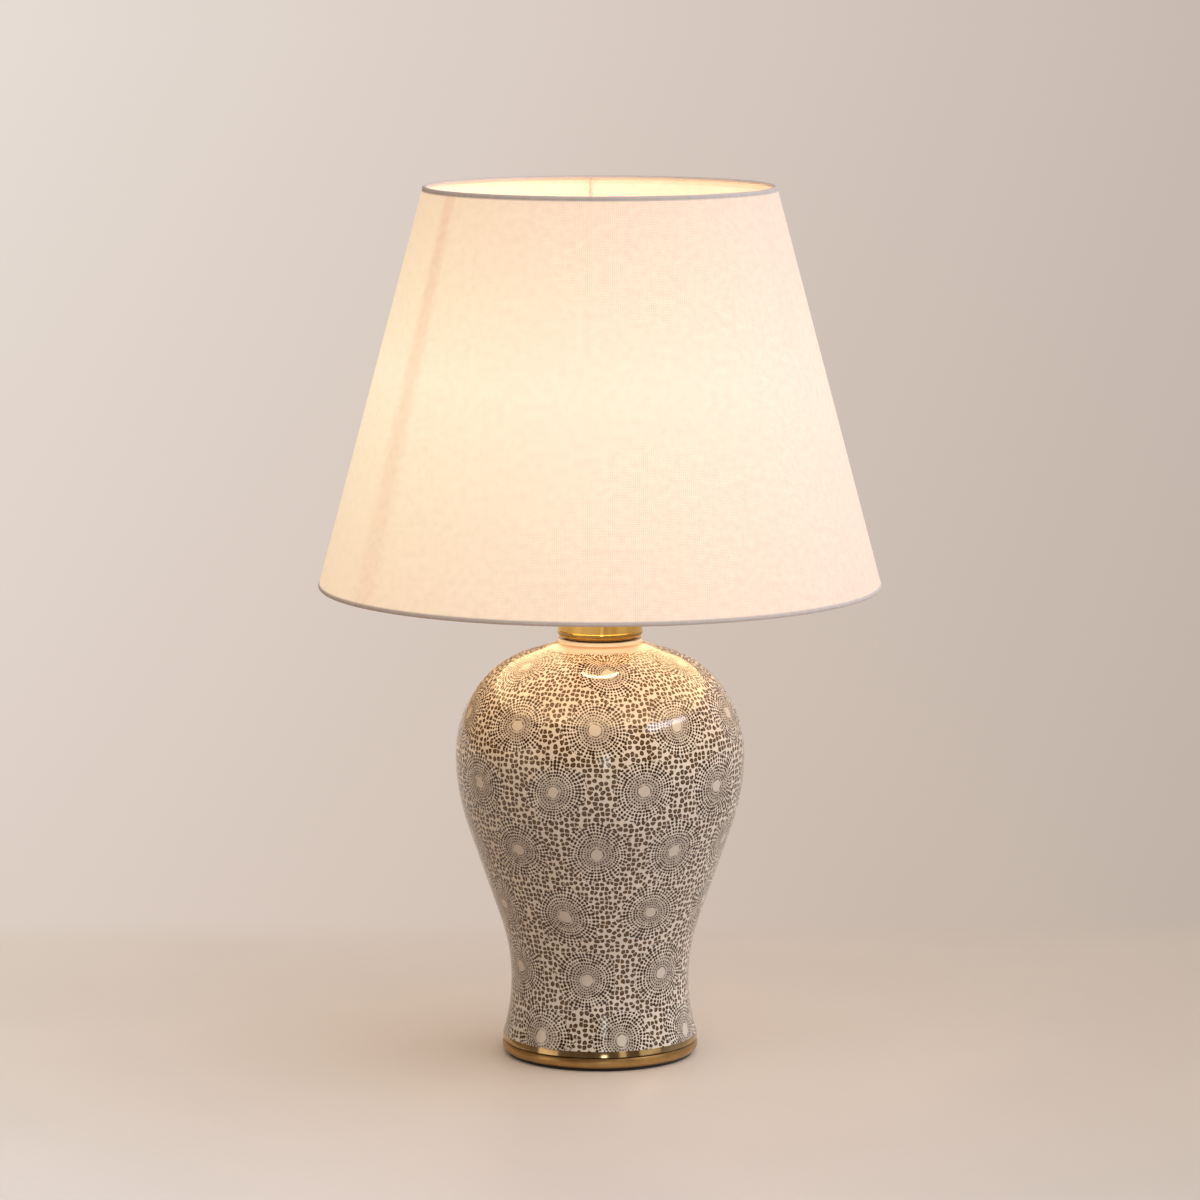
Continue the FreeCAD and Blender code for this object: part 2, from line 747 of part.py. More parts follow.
def tie_rod():
    """Threaded tube that pulls foot, vase, cap and holder together and carries the wires."""
    bottom = rod_bottom()
    top = lamp.rod_top
    chamfer = lamp.rod_chamfer
    revolved("tie_rod", [
        (lamp.rod_bore_radius, bottom),
        (lamp.rod_radius - chamfer, bottom),
        (lamp.rod_radius, bottom + chamfer),
        (lamp.rod_radius, top - chamfer),
        (lamp.rod_radius - chamfer, top),
        (lamp.rod_bore_radius, top),
    ])


def bottom_fixings():
    """Clamp washer, split lock washer and hexagon nut under the foot's web."""
    clamp_bottom = lamp.web_bottom - lamp.clamp_washer_thickness
    lock_bottom = clamp_bottom - lamp.lock_washer_thickness
    nut_bottom = lock_bottom - lamp.bottom_nut_height
    revolved("clamp_washer", ring_corners(
        lamp.rod_hole_radius, lamp.clamp_washer_radius, clamp_bottom, lamp.web_bottom
    ))
    washer = revolved("lock_washer", ring_corners(
        lamp.thread_bore_radius, lamp.lock_washer_radius, lock_bottom, clamp_bottom
    ))
    slit = new_sketch(washer, "lock_washer_slit_outline", "XY_Plane", clamp_bottom)
    half = lamp.lock_washer_slit / 2
    far = lamp.lock_washer_radius + lamp.overrun
    draw(slit, [(0, -half), (far, -half), (far, half), (0, half)])
    pocket(washer, slit, lamp.lock_washer_thickness + lamp.overrun)
    nut = new_body("bottom_nut")
    outline = new_sketch(nut, "bottom_nut_outline", "XY_Plane", nut_bottom)
    corner_radius = lamp.bottom_nut_flats / (2 * math.cos(math.pi / NUT_SIDES))
    places = [math.tau * (side + NUT_START) / NUT_SIDES for side in range(NUT_SIDES)]
    draw(outline, [
        (corner_radius * math.cos(place), corner_radius * math.sin(place)) for place in places
    ])
    draw_circle(outline, 0, 0, lamp.thread_bore_radius)
    pad(nut, outline, lamp.bottom_nut_height)


def neck_gasket():
    """Thin ring under the flat of the cap's foot, so that a dark gap stays open round it."""
    outside = lamp.cap_radius - lamp.cap_bead
    revolved("neck_gasket", ring_corners(
        outside - lamp.neck_gasket_width, outside, lamp.neck_top, lamp.cap_bottom
    ))


def vase_cap():
    """Turned brass cap with a thick foot, rounded at its lower edge, and a fine groove above it."""
    bead = lamp.cap_bead
    inner_bend = bead - lamp.cap_bead_step
    side = lamp.cap_radius - lamp.cap_bead_step
    bead_end = lamp.cap_bottom + bead + root(bead * bead - inner_bend * inner_bend)
    inside = side - lamp.cap_wall
    foot_inside = lamp.cap_radius - bead - lamp.cap_foot_width
    rounding = lamp.cap_rounding
    bend = rounding - lamp.cap_wall
    ceiling = lamp.cap_top - lamp.cap_wall
    revolved("vase_cap", [
        (foot_inside, lamp.cap_bottom),
        (lamp.cap_radius - bead, lamp.cap_bottom),
        (lamp.cap_radius, lamp.cap_bottom + bead, bead, LEFT),
        (side, bead_end, bead, LEFT),
        (side, lamp.cap_top - rounding),
        (side - rounding, lamp.cap_top, rounding, LEFT),
        (lamp.rod_hole_radius, lamp.cap_top),
        (lamp.rod_hole_radius, ceiling),
        (inside - bend, ceiling),
        (inside, ceiling - bend, bend, RIGHT),
        (inside, bead_end),
        (foot_inside, bead_end),
    ])


def top_nut():
    revolved("top_nut", chamfered_ring_corners(
        lamp.thread_bore_radius,
        lamp.top_nut_radius,
        lamp.cap_top,
        lamp.holder_bottom,
        lamp.top_nut_chamfer,
    ))


def grub_screw_level():
    return lamp.holder_bottom + lamp.holder_neck_height / 2


def holder_cap():
    """Lower half of the lampholder: a threaded neck that domes out to hold the insert."""
    bore = lamp.thread_bore_radius
    neck_end = lamp.holder_bottom + lamp.holder_neck_height
    dome = lamp.holder_radius - lamp.holder_neck_radius
    inside = lamp.holder_inside
    shelf = lamp.insert_bottom - lamp.seat_clearance
    cavity = inside - lamp.holder_shelf_width
    body = revolved("holder_cap", [
        (bore, lamp.holder_bottom),
        (lamp.holder_neck_radius, lamp.holder_bottom),
        (lamp.holder_neck_radius, neck_end),
        (lamp.holder_radius, neck_end + dome, dome, LEFT),
        (lamp.holder_radius, lamp.skirt_bottom),
        (inside, lamp.skirt_bottom),
        (inside, shelf),
        (cavity, shelf),
        (cavity, shelf - lamp.holder_wall),
        (bore, shelf - lamp.holder_wall),
    ])
    hole = new_sketch(body, "grub_screw_hole", "XZ_Plane")
    draw_circle(hole, 0, grub_screw_level(), lamp.grub_screw_radius + lamp.running_clearance)
    pocket(body, hole, lamp.holder_neck_radius + lamp.overrun)


def grub_screw():
    """Socket screw in the back of the holder's neck that locks it on the rod."""
    body = new_body("grub_screw")
    level = grub_screw_level()
    outline = new_sketch(body, "grub_screw_outline", "XZ_Plane", -lamp.holder_neck_radius)
    draw_circle(outline, 0, level, lamp.grub_screw_radius)
    pad(body, outline, lamp.holder_neck_radius - lamp.rod_radius - lamp.running_clearance)
    depth = lamp.grub_screw_socket_depth
    socket = new_sketch(body, "grub_screw_socket", "XZ_Plane", depth - lamp.holder_neck_radius)
    draw_circle(socket, 0, level, lamp.grub_screw_socket_radius)
    pocket(body, socket, depth + lamp.overrun)


def holder_insert():
    """Ceramic disc that carries the two contacts, with holes for the wires and the screws."""
    body = revolved("holder_insert", [
        (0, lamp.insert_bottom),
        (lamp.insert_radius, lamp.insert_bottom),
        (lamp.insert_radius, lamp.insert_top),
        (0, lamp.insert_top),
    ])
    holes = new_sketch(body, "insert_holes", "XY_Plane", lamp.insert_top)
    wire_place = lamp.insert_wire_hole_place
    screw_hole = lamp.terminal_screw_radius + lamp.running_clearance
    draw_circle(holes, 0, wire_place, lamp.insert_wire_hole_radius)
    draw_circle(holes, 0, -wire_place, lamp.insert_wire_hole_radius)
    draw_circle(holes, lamp.terminal_place, 0, screw_hole)
    draw_circle(holes, -lamp.terminal_place, 0, screw_hole)
    pocket(body, holes, lamp.insert_thickness + lamp.overrun)


def contact_strip(name, corners, screw_place):
    """Bent metal strip with a screw hole."""
    body = new_body(name)
    strip = new_sketch(body, f"{name}_side", "XZ_Plane", -lamp.contact_width / 2)
    draw(strip, corners)
    pad(body, strip, lamp.contact_width)
    surface = lamp.insert_top + lamp.contact_thickness
    hole = new_sketch(body, f"{name}_hole", "XY_Plane", surface)
    draw_circle(hole, screw_place, 0, lamp.terminal_screw_radius + lamp.running_clearance)
    pocket(body, hole, lamp.contact_thickness + lamp.overrun)


def contacts():
    """Centre contact under the bulb's tip, and side contact beside its screw shell."""
    base = lamp.insert_top
    thickness = lamp.contact_thickness
    surface = base + thickness
    crest = base + lamp.contact_rise
    ramp_end = lamp.contact_crest + lamp.contact_ramp
    end = lamp.terminal_place + lamp.contact_end
    contact_strip("centre_contact", [
        (-lamp.contact_crest, crest - thickness),
        (lamp.contact_crest, crest - thickness),
        (ramp_end, base),
        (end, base),
        (end, surface),
        (ramp_end + thickness / 2, surface),
        (lamp.contact_crest + thickness / 2, crest),
        (-lamp.contact_crest, crest),
    ], lamp.terminal_place)
    near = -lamp.shell_radius - lamp.side_contact_gap
    far = near - thickness
    start = lamp.contact_crest - lamp.terminal_place
    top = lamp.skirt_bore_bottom - lamp.side_contact_end_gap
    contact_strip("side_contact", [
        (far, base),
        (start, base),
        (start, surface),
        (near, surface),
        (near, top),
        (far, top),
    ], -lamp.terminal_place)


def terminal_screws():
    """Two alike slotted screws, one through each contact strip into the insert."""
    body = new_body("terminal_screws")
    surface = lamp.insert_top + lamp.contact_thickness
    bottom = surface - lamp.terminal_screw_length
    shank = new_sketch(body, "terminal_shank", "XY_Plane", bottom)
    draw_circle(shank, lamp.terminal_place, 0, lamp.terminal_screw_radius)
    shank_pad = pad(body, shank, lamp.terminal_screw_length)
    head = new_sketch(body, "terminal_head", "XY_Plane", surface)
    draw_circle(head, lamp.terminal_place, 0, lamp.terminal_head_radius)
    head_pad = pad(body, head, lamp.terminal_head_height)
    slot = new_sketch(body, "terminal_slot", "XY_Plane", surface + lamp.terminal_head_height)
    reach = lamp.terminal_head_radius + lamp.running_clearance
    half = lamp.contact_thickness
    place = lamp.terminal_place
    draw(slot, [
        (place - reach, -half),
        (place + reach, -half),
        (place + reach, half),
        (place - reach, half),
    ])
    slot_cut = pocket(body, slot, lamp.terminal_head_height / 2)
    pattern = around(body, shank_pad, TERMINAL_SCREWS)
    pattern.Originals = [shank_pad, head_pad, slot_cut]


def holder_skirt():
    """Upper half of the lampholder: a bore for the bulb, threaded outside for the shade rings."""
    bottom = lamp.skirt_bottom
    top = lamp.skirt_thread_top + lamp.skirt_mouth
    spigot_bottom = bottom - lamp.skirt_spigot
    spigot_inside = lamp.skirt_spigot_inside
    thread_root = lamp.skirt_thread_radius - lamp.skirt_thread_depth
    thread_start = lamp.skirt_thread_bottom
    thread = [(thread_root, thread_start)]
    for turn in range(SKIRT_THREAD_TURNS):
        for share in THREAD_CREST_SHARES:
            level = thread_start + (turn + share) * lamp.skirt_thread_pitch
            thread.append((lamp.skirt_thread_radius, level))
        thread.append((thread_root, thread_start + (turn + 1) * lamp.skirt_thread_pitch))
    revolved("holder_skirt", [
        (spigot_inside, spigot_bottom),
        (lamp.skirt_spigot_radius, spigot_bottom),
        (lamp.skirt_spigot_radius, bottom),
        (lamp.holder_radius, bottom),
        (lamp.holder_radius, thread_start),
        *thread,
        (thread_root, top),
        (lamp.skirt_bore_radius + lamp.skirt_mouth_chamfer, top),
        (lamp.skirt_bore_radius, top - lamp.skirt_mouth_chamfer),
        (lamp.skirt_bore_radius, lamp.skirt_bore_bottom),
        (spigot_inside, lamp.skirt_bore_bottom),
    ])


def shade_ring(name, outside, bottom):
    """Threaded ring with grip notches, screwed on the skirt."""
    top = bottom + lamp.shade_ring_height
    body = revolved(name, chamfered_ring_corners(
        lamp.shade_ring_bore_radius, outside, bottom, top, lamp.shade_ring_chamfer
    ))
    notch = new_sketch(body, f"{name}_notch", "XY_Plane", top)
    draw_circle(notch, outside, 0, lamp.grip_notch_radius)
    around(body, pocket(body, notch, lamp.shade_ring_height + lamp.overrun), GRIP_NOTCHES)


def bulb_base():
    """Tip contact, insulator and screw shell of the bulb."""
    bottom = lamp.bulb_bottom
    tip_top = bottom + lamp.tip_height
    revolved("bulb_contact", [
        (0, bottom),
        (lamp.tip_radius - lamp.tip_rounding, bottom),
        (lamp.tip_radius, bottom + lamp.tip_rounding, lamp.tip_rounding, LEFT),
        (lamp.tip_radius, tip_top),
        (0, tip_top),
    ])
    nose = tip_top + lamp.running_clearance
    revolved("bulb_insulator", [
        (0, nose),
        (lamp.insulator_nose_radius, nose),
        (lamp.insulator_radius, nose + lamp.insulator_nose_height),
        (lamp.insulator_radius, nose + lamp.insulator_height),
        (0, nose + lamp.insulator_height),
    ])
    thread_root = lamp.shell_root_radius
    inside = lamp.shell_inside
    shell_bottom = bottom + lamp.shell_bottom
    thread_start = shell_bottom + lamp.shell_thread_start
    half_pitch = lamp.shell_thread_pitch / 2
    depth = lamp.shell_thread_depth
    knuckle = (half_pitch * half_pitch + depth * depth) / (2 * depth)
    thread = [(thread_root, thread_start)]
    for turn in range(SHELL_THREAD_TURNS):
        level = thread_start + (turn + 1) * lamp.shell_thread_pitch
        thread.append((thread_root, level, knuckle, LEFT))
    shell_top = shell_bottom + lamp.shell_height
    rim_top = shell_top + lamp.shell_rim_height
    revolved("bulb_shell", [
        (inside, shell_bottom),
        (thread_root, shell_bottom + lamp.shell_wall),
        *thread,
        (thread_root, shell_top),
        (lamp.shell_rim_radius, shell_top),
        (lamp.shell_rim_radius, rim_top),
        (inside, rim_top),
    ])


def bulb_housing():
    """Flared body between the screw shell and the dome, with a ledge for the board."""
    bottom = lamp.bulb_bottom
    neck_outside = lamp.shell_inside - lamp.seat_clearance
    neck_bore = neck_outside - lamp.housing_neck_wall
    shoulder = (
        bottom + lamp.shell_bottom + lamp.shell_height + lamp.shell_rim_height
        + lamp.seat_clearance
    )
    rim_inside = lamp.dome_rim_radius - lamp.housing_wall
    ledge_level = lamp.housing_rim - lamp.board_depth
    ledge_outside = rim_inside - lamp.board_inset + lamp.seat_clearance
    ledge_inside = ledge_outside - lamp.board_ledge
    revolved("bulb_housing", [
        (neck_bore, bottom + lamp.housing_neck_start),
        (neck_outside, bottom + lamp.housing_neck_start),
        (neck_outside, shoulder),
        (lamp.shell_rim_radius + lamp.housing_step, shoulder),
        (lamp.dome_rim_radius, lamp.housing_rim, lamp.housing_flare, RIGHT),
        (rim_inside, lamp.housing_rim),
        (ledge_outside, ledge_level),
        (ledge_inside, ledge_level),
        (ledge_inside, ledge_level - lamp.board_ledge_height),
        (neck_bore, bottom + lamp.housing_funnel_start),
    ])


def bulb_dome():
    """Opal globe, closed at the top and open at its rim."""
    rim = lamp.housing_rim + lamp.running_clearance
    outer = lamp.bulb_radius
    inner = lamp.bulb_radius - lamp.dome_wall
    centre = lamp.globe_centre
    below = centre - rim
    revolved("bulb_dome", [
        (root(inner * inner - below * below), rim, inner, RIGHT),
        (root(outer * outer - below * below), rim),
        (outer, centre, outer, LEFT),
        (0, centre + outer, outer, LEFT),
        (0, centre + inner),
        (inner, centre, inner, RIGHT),
    ])


def led_board():
    """Round board with a ring of light-emitting chips."""
    bottom = lamp.housing_rim - lamp.board_depth + lamp.running_clearance
    top = bottom + lamp.board_thickness
    radius = lamp.dome_rim_radius - lamp.housing_wall - lamp.board_inset
    body = revolved("led_board", [(0, bottom), (radius, bottom), (radius, top), (0, top)])
    chip = new_sketch(body, "led_chip", "XY_Plane", top)
    half = lamp.chip_size / 2
    place = radius - lamp.chip_inset
    draw(chip, [
        (place - half, -half), (place + half, -half), (place + half, half), (place - half, half)
    ])
    around(body, pad(body, chip, lamp.chip_height), LED_CHIPS)


def top_ring_centre():
    return lamp.top_ring_radius, lamp.top_ring_level


def bottom_ring_centre():
    return lamp.bottom_ring_radius, lamp.bottom_ring_level


def beside(ring, down, out):
    """A point some way down the cone from a wire ring's centre, and out from it square to it."""
    radius, level = ring
    return (
        radius + down * lamp.lean_share + out * lamp.upright_share,
        level - down * lamp.upright_share + out * lamp.lean_share,
    )


def shade_fabric():
    """Cone of fabric whose two edges are rolled round the wire rings."""
    top = top_ring_centre()
    bottom = bottom_ring_centre()
    outer = lamp.hem_radius
    inner = lamp.hem_bore_radius
    outside = lamp.fabric_outside
    inside = lamp.fabric_inside
    outer_reach = root(outer * outer - outside * outside)
    inner_reach = root(inner * inner - inside * inside)
    across = cosine(lamp.hem_tip_angle)
    down = sine(lamp.hem_tip_angle)
    revolved("shade_fabric", [
        beside(top, outer_reach, outside),
        (top[0], top[1] + outer, outer, LEFT),
        (top[0] - outer * across, top[1] - outer * down, outer, LEFT),
        (top[0] - inner * across, top[1] - inner * down),
        (top[0], top[1] + inner, inner, RIGHT),
        (*beside(top, inner_reach, inside), inner, RIGHT),
        beside(bottom, -inner_reach, inside),
        (bottom[0], bottom[1] - inner, inner, RIGHT),
        (bottom[0] - inner * across, bottom[1] + inner * down, inner, RIGHT),
        (bottom[0] - outer * across, bottom[1] + outer * down),
        (bottom[0], bottom[1] - outer, outer, LEFT),
        (*beside(bottom, -outer_reach, outside), outer, LEFT),
    ])


def shade_liner():
    """Stiff translucent sheet behind the fabric, ending short of both rings."""
    outside = lamp.liner_outside
    inside = outside - lamp.liner_thickness
    inset = lamp.liner_inset
    revolved("shade_liner", [
        beside(top_ring_centre(), inset, inside),
        beside(bottom_ring_centre(), -inset, inside),
        beside(bottom_ring_centre(), -inset, outside),
        beside(top_ring_centre(), inset, outside),
    ])


def wire_ring(name, centre):
    ring = new_subpart("Part::Torus", name)
    bind(ring, "Radius1", centre[0])
    bind(ring, "Radius2", lamp.ring_wire_radius)
    bind(ring, "Placement.Base.z", centre[1])


def shade_arm(name, angle):
    """Wire that drops from the top ring and turns in to lie on the fitter ring."""
    body = new_body(name)
    radius = lamp.arm_radius
    level = lamp.arm_level
    bend = lamp.arm_bend
    top = lamp.top_ring_level - lamp.ring_wire_radius - lamp.running_clearance
    path = new_sketch(body, f"{name}_path", "XZ_Plane")
    draw(path, [
        (radius, top),
        (radius, level + bend),
        (radius - bend, level, bend, RIGHT),
        (lamp.upper_ring_radius + lamp.arm_end_gap, level),
    ], closed=False)
    section = new_sketch(body, f"{name}_section", "XY_Plane", top)
    draw_circle(section, radius, 0, lamp.arm_wire_radius)
    pipe = body.newObject("PartDesign::AdditivePipe", f"{name}_pipe")
    pipe.Profile = section
    pipe.Spine = path
    body.Placement.Rotation.Axis = FreeCAD.Vector(0, 0, 1)
    bind(body, "Placement.Rotation.Angle", angle)


def shade_frame():
    wire_ring("shade_top_ring", top_ring_centre())
    wire_ring("shade_bottom_ring", bottom_ring_centre())
    for side, angle in (
        ("left", lamp.arm_left_angle),
        ("right", lamp.arm_right_angle),
        ("back", lamp.arm_back_angle),
    ):
        shade_arm(f"shade_arm_{side}", angle)
    revolved("fitter_ring", ring_corners(
        lamp.fitter_hole_radius, lamp.fitter_radius, lamp.fitter_bottom, lamp.fitter_top
    ))


def check_and_write():
    """Stop at the first object that failed, then write every sub-part."""
    doc.recompute()
    for thing in doc.Objects:
        if "Invalid" in thing.State or "Error" in thing.State:
            raise RuntimeError(f"{thing.Label} could not be made: {thing.State}")
    for subpart in subparts:
        if subpart.Shape.isNull() or not subpart.Shape.isValid():
            raise RuntimeError(f"{subpart.Label} has no valid shape")
    os.makedirs("parts", exist_ok=True)
    for subpart in subparts:
        subpart.Shape.exportStep(f"parts/{subpart.Label}.step")


felt_pad()
foot()
cord_bush()
foot_gasket()
ceramic_body()
tie_rod()
bottom_fixings()
neck_gasket()
vase_cap()
top_nut()
holder_cap()
grub_screw()
holder_insert()
contacts()
terminal_screws()
holder_skirt()
shade_ring("lower_shade_ring", lamp.lower_ring_radius, lamp.lower_ring_bottom)
shade_ring("upper_shade_ring", lamp.upper_ring_radius, lamp.upper_ring_bottom)
bulb_base()
bulb_housing()
bulb_dome()
led_board()
shade_fabric()
shade_liner()
shade_frame()
check_and_write()
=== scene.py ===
import bmesh
import bpy
from math import acos, asin, atan2, ceil, cos, degrees, hypot, pi, radians, sin, sqrt, tau
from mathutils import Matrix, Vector
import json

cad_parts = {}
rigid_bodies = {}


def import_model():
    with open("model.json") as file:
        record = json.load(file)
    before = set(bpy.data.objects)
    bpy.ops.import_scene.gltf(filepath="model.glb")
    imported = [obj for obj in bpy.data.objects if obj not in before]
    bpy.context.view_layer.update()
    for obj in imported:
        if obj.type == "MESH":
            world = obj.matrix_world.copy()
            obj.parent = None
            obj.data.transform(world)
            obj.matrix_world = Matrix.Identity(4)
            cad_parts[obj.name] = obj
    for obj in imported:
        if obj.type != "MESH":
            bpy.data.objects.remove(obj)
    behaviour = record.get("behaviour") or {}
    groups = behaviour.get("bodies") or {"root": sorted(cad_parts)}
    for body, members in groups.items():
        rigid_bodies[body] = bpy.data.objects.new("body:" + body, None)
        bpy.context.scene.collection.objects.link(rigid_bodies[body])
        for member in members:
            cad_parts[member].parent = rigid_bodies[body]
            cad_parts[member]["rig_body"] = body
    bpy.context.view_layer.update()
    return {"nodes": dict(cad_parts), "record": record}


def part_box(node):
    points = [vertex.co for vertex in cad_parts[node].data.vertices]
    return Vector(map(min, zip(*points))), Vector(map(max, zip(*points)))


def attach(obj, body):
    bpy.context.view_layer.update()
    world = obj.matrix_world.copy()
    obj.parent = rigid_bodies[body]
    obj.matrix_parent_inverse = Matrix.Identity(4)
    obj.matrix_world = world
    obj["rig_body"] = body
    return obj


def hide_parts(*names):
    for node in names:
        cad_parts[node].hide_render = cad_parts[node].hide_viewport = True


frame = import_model()
node_slots = {part["node"]: part["material_slot"] for part in frame["record"]["subparts"]}

MM = 0.001
# Steps of a full turn, and how far a chord of the outline may fall short of its arc
SPIN_STEPS = 192
CHORD_ERROR = 0.02
# Noise textures keep mostly between these values
NOISE_SPAN = (0.3, 0.7)
# Edges sharper than these stay sharp: on turned pieces, cloth and pieces from the CAD, in degrees
TURNED_CREASE = 30
CLOTH_CREASE = 60
CAD_CREASE = 25

# Vase: levels and radii of its outline, as in the part's source
VASE_BOTTOM = 10.5
BAND_TOP = 14.8
RECESS_RADIUS = 60.034
BASE_RADIUS = 69.634
WAIST_LEVEL = 54.2
WAIST_CENTRE = 197.47
WAIST_ARC = 133.77
TAPER_LEAN = 19.107
WIDEST_LEVEL = 217.2
BELLY_CENTRE = -55.84
BELLY_ARC = 158.94
SHOULDER_CENTRE = 21.24
SHOULDER_ARC = 81.86
SHOULDER_TURN = 34.5
CROWN_ARC = 68.046
CROWN_TURN = 72.1
NECK_RADIUS = 30.0
NECK_FILLET = 3.2
NECK_LIP = 0.3
NECK_TOP = 300.409
NECK_BORE = 20.0
VASE_WALL = 5.0
FLOOR_TOP = 25.0
FLOOR_BOTTOM = 19.0
ROD_HOLE = 5.3

# Shade: its two wire rings and the cloth round them
TOP_RING = (123.3, 619.78)
BOTTOM_RING = (198.2, 339.38)
HEM_RADIUS = 1.8
CLOTH = 0.55
CLOTH_OUTSIDE = 1.4
LINER_OUTSIDE = 0.8
LINER = 0.35
LINER_INSET = 4.5
HEM_TIP = 15.0

# Rosettes of the vase's print: way up the side in mm, how many round, place of one in degrees
ROSETTE_ROWS = (
    (291.0, 6, 5.5),
    (243.0, 10, -1.6),
    (197.0, 10, 17.0),
    (151.0, 10, -2.0),
    (102.5, 8, 28.0),
    (53.0, 7, -9.0),
    (8.0, 7, 14.0),
)

# Length along the outline at the top of the lustre band, where the rows are counted from
ORIGIN_WAY = BASE_RADIUS - RECESS_RADIUS + BAND_TOP - VASE_BOTTOM
# Hand-made drift of the rosettes: the size of its clouds and the furthest shift
DRIFT_GRAIN = 60.0
ROSETTE_DRIFT = 12.0
# Where a rosette gives way to blobs, and the clouds that make that border wander
ROSETTE_EDGE = (31.0, 31.6)
BORDER_GRAIN = 9.0
BORDER_WANDER = 18.0
# Levels between which the print ends under the neck
PRINT_TOP = (294.8, 294.2)

# A ring's number grows as this rate times the way from the eye to this power
RING_RATE = 1.066
RING_POWER = 0.763
RINGS_IN_EYE = 3.5
RING_SHIFT = 0.37
INNER_DOT_SPACING = 2.0
MOST_DOTS = 45
# A dot's radius near the eye and far from it, the ways that these hold at, and its soft edge
DOT_GROWTH = (6.0, 23.0)
DOT_RADII = (0.58, 1.17)
DOT_EDGE = (1.15, 0.85)
# Ink that has run between the inner dots: ways from the eye and shares of full ink
WASH_WAYS = (15.0, 7.0)
WASH_SHARES = (0.0, 0.42)
EYE_WASH = 0.14
# Dark rim of the eye: its way out, its soft edge and its ink, from where the print is thin
EYE_RIM = 4.7
RIM_EDGE = (0.8, 0.2)
RIM_THIN = (0.86, 1.06)
RIM_SHARES = (0.4, 0.9)

# Blobs: spacing in mm, shares of it that a blob's radius may be, and the girth that they are laid
# out on below and above the seam, in mm of radius
BLOB_SPACING = 3.9
BLOB_JITTER = 0.6
BLOB_SHARES = (0.37, 0.46)
BLOB_EDGE = (1.08, 0.92)
BLOB_GAP = (0.05, 0.10)
BLOB_MIDDLE = (0.72, 0.45)
BLOB_GIRTHS = (67.0, 95.0)
BLOB_SEAM = ORIGIN_WAY + 102.5
# Unsteady hand: the size of its wobble, and how far it moves dots and blobs
WOBBLE_GRAIN = 3.2
DOT_WOBBLE = (1.3, 1.3, 0.0)
BLOB_WOBBLE = (1.6, 1.6, 0.0)

# Clouds in the glaze's pale ground, and the slow waves of its surface
GLAZE_CLOUD = 33.33
GLAZE_WAVE = 22.22
# Painted shade: a brown line in the crease under the neck, at its root, over these half widths
NECK_ROOT = 297.5
CREASE_SHADE_EDGE = (1.2, 0.3)
CREASE_SHADE_SHARE = 0.7
# How fast a turned mark changes along itself, as a share of how fast it changes across
ALONG_A_MARK = 0.04
# Painted shade at the cap's foot, where it meets the neck: the level in mm under which it is
# painted darker, what that leaves of its light, and the half width of that border
CAP_FOOT_SHADE = (305.6, 0.5)
FOOT_SHADE_BLUR = 0.2
# Clouds of tarnish on turned metal
TARNISH_CLOUD = 16.67
# Clouds of wear in the lustre band, and the upward lean of what it mirrors, as its rounded edge
# gives
LUSTRE_CLOUD = 11.11
LUSTRE_TILT = 0.17

# Thread spacing drawn, the length of one wave of a wave texture at a scale of one, the clouds of
# uneven thread, and the light that thick and thin threads let by
THREAD_SPACING = 1.4
WAVE_LENGTH = tau / 20
THREAD_CLOUD = 5.556
THREAD_SHADES = (0.82, 1.15)
# Half heights, as shares of the shade's, between which the glow ends at the hems
HEM_SHADE = (0.4965, 0.4925)
# Light that comes through the cloth, from the bottom hem to the top hem
SHADE_GLOW = [
    (0.00, (0.50, 0.34, 0.19, 1.0)),
    (0.35, (0.56, 0.42, 0.24, 1.0)),
    (0.55, (0.60, 0.47, 0.28, 1.0)),
    (0.75, (0.56, 0.41, 0.23, 1.0)),
    (1.00, (0.50, 0.33, 0.18, 1.0)),
]
# Shares of that light at the shade's left and right
SIDE_GLOWS = ((1.19, 1.31, 1.48, 1.0), (0.76, 0.71, 0.73, 1.0))
# Clouds in the sheet behind the cloth
SHEET_CLOUD = 8.333
# Light of that sheet: its foot also stands for what the shade throws down
LINER_GLOW = [
    (0.0, (2.90, 2.15, 1.08, 1.0)),
    (0.2, (1.15, 0.84, 0.42, 1.0)),
    (0.5, (0.36, 0.24, 0.11, 1.0)),
    (0.85, (0.30, 0.16, 0.11, 1.0)),
    (1.0, (0.25, 0.14, 0.11, 1.0)),
]
# A shadow takes less red light than blue, because warm light from the sheet fills it
SHADOW_TINT = (-0.4, -1.0, -1.2)
# Shadows of the wire arms on the cloth: place in degrees, half widths in radians and depths, each
# at the bottom and at the top
ARM_SHADOWS = (
    (-55.5, 0.10, 0.075, 0.11, 0.22),
    (63.0, 0.20, 0.12, 0.02, 0.05),
    (183.0, 0.10, 0.06, 0.04, 0.10),
)
# Shares of its half width at which a shadow ends and from which on it is full
ARM_EDGE = (1.0, 0.2)
# Fibres of the felt pad, which lie flat, so that they seem this many times finer upwards
FELT_FIBRE = 1.111
FELT_FLATNESS = 4.0
# Strength of the opal globe's light as it is seen, and what is added to it where gloss mirrors it
GLOBE_LIGHT = 13.0
GLOBE_MIRRORED = 30.0

# Camera at the photograph's height and distance: metres, degrees from straight down, mm of lens and
# film, and metres that it sees
CAMERA_AWAY = 3.5
CAMERA_HEIGHT = 0.832
CAMERA_TILT = 81.795
CAMERA_LENS = 149.2
CAMERA_FILM = 36.0
CAMERA_REACH = 200.0

# Half the floor's side in metres, its grain and its faint clouds, and their shares of its tone
FLOOR_HALF = 60
FLOOR_GRAIN = 2.0
FLOOR_CLOUD = 166.7
FLOOR_CLOUD_SHARES = (0.985, 1.015)
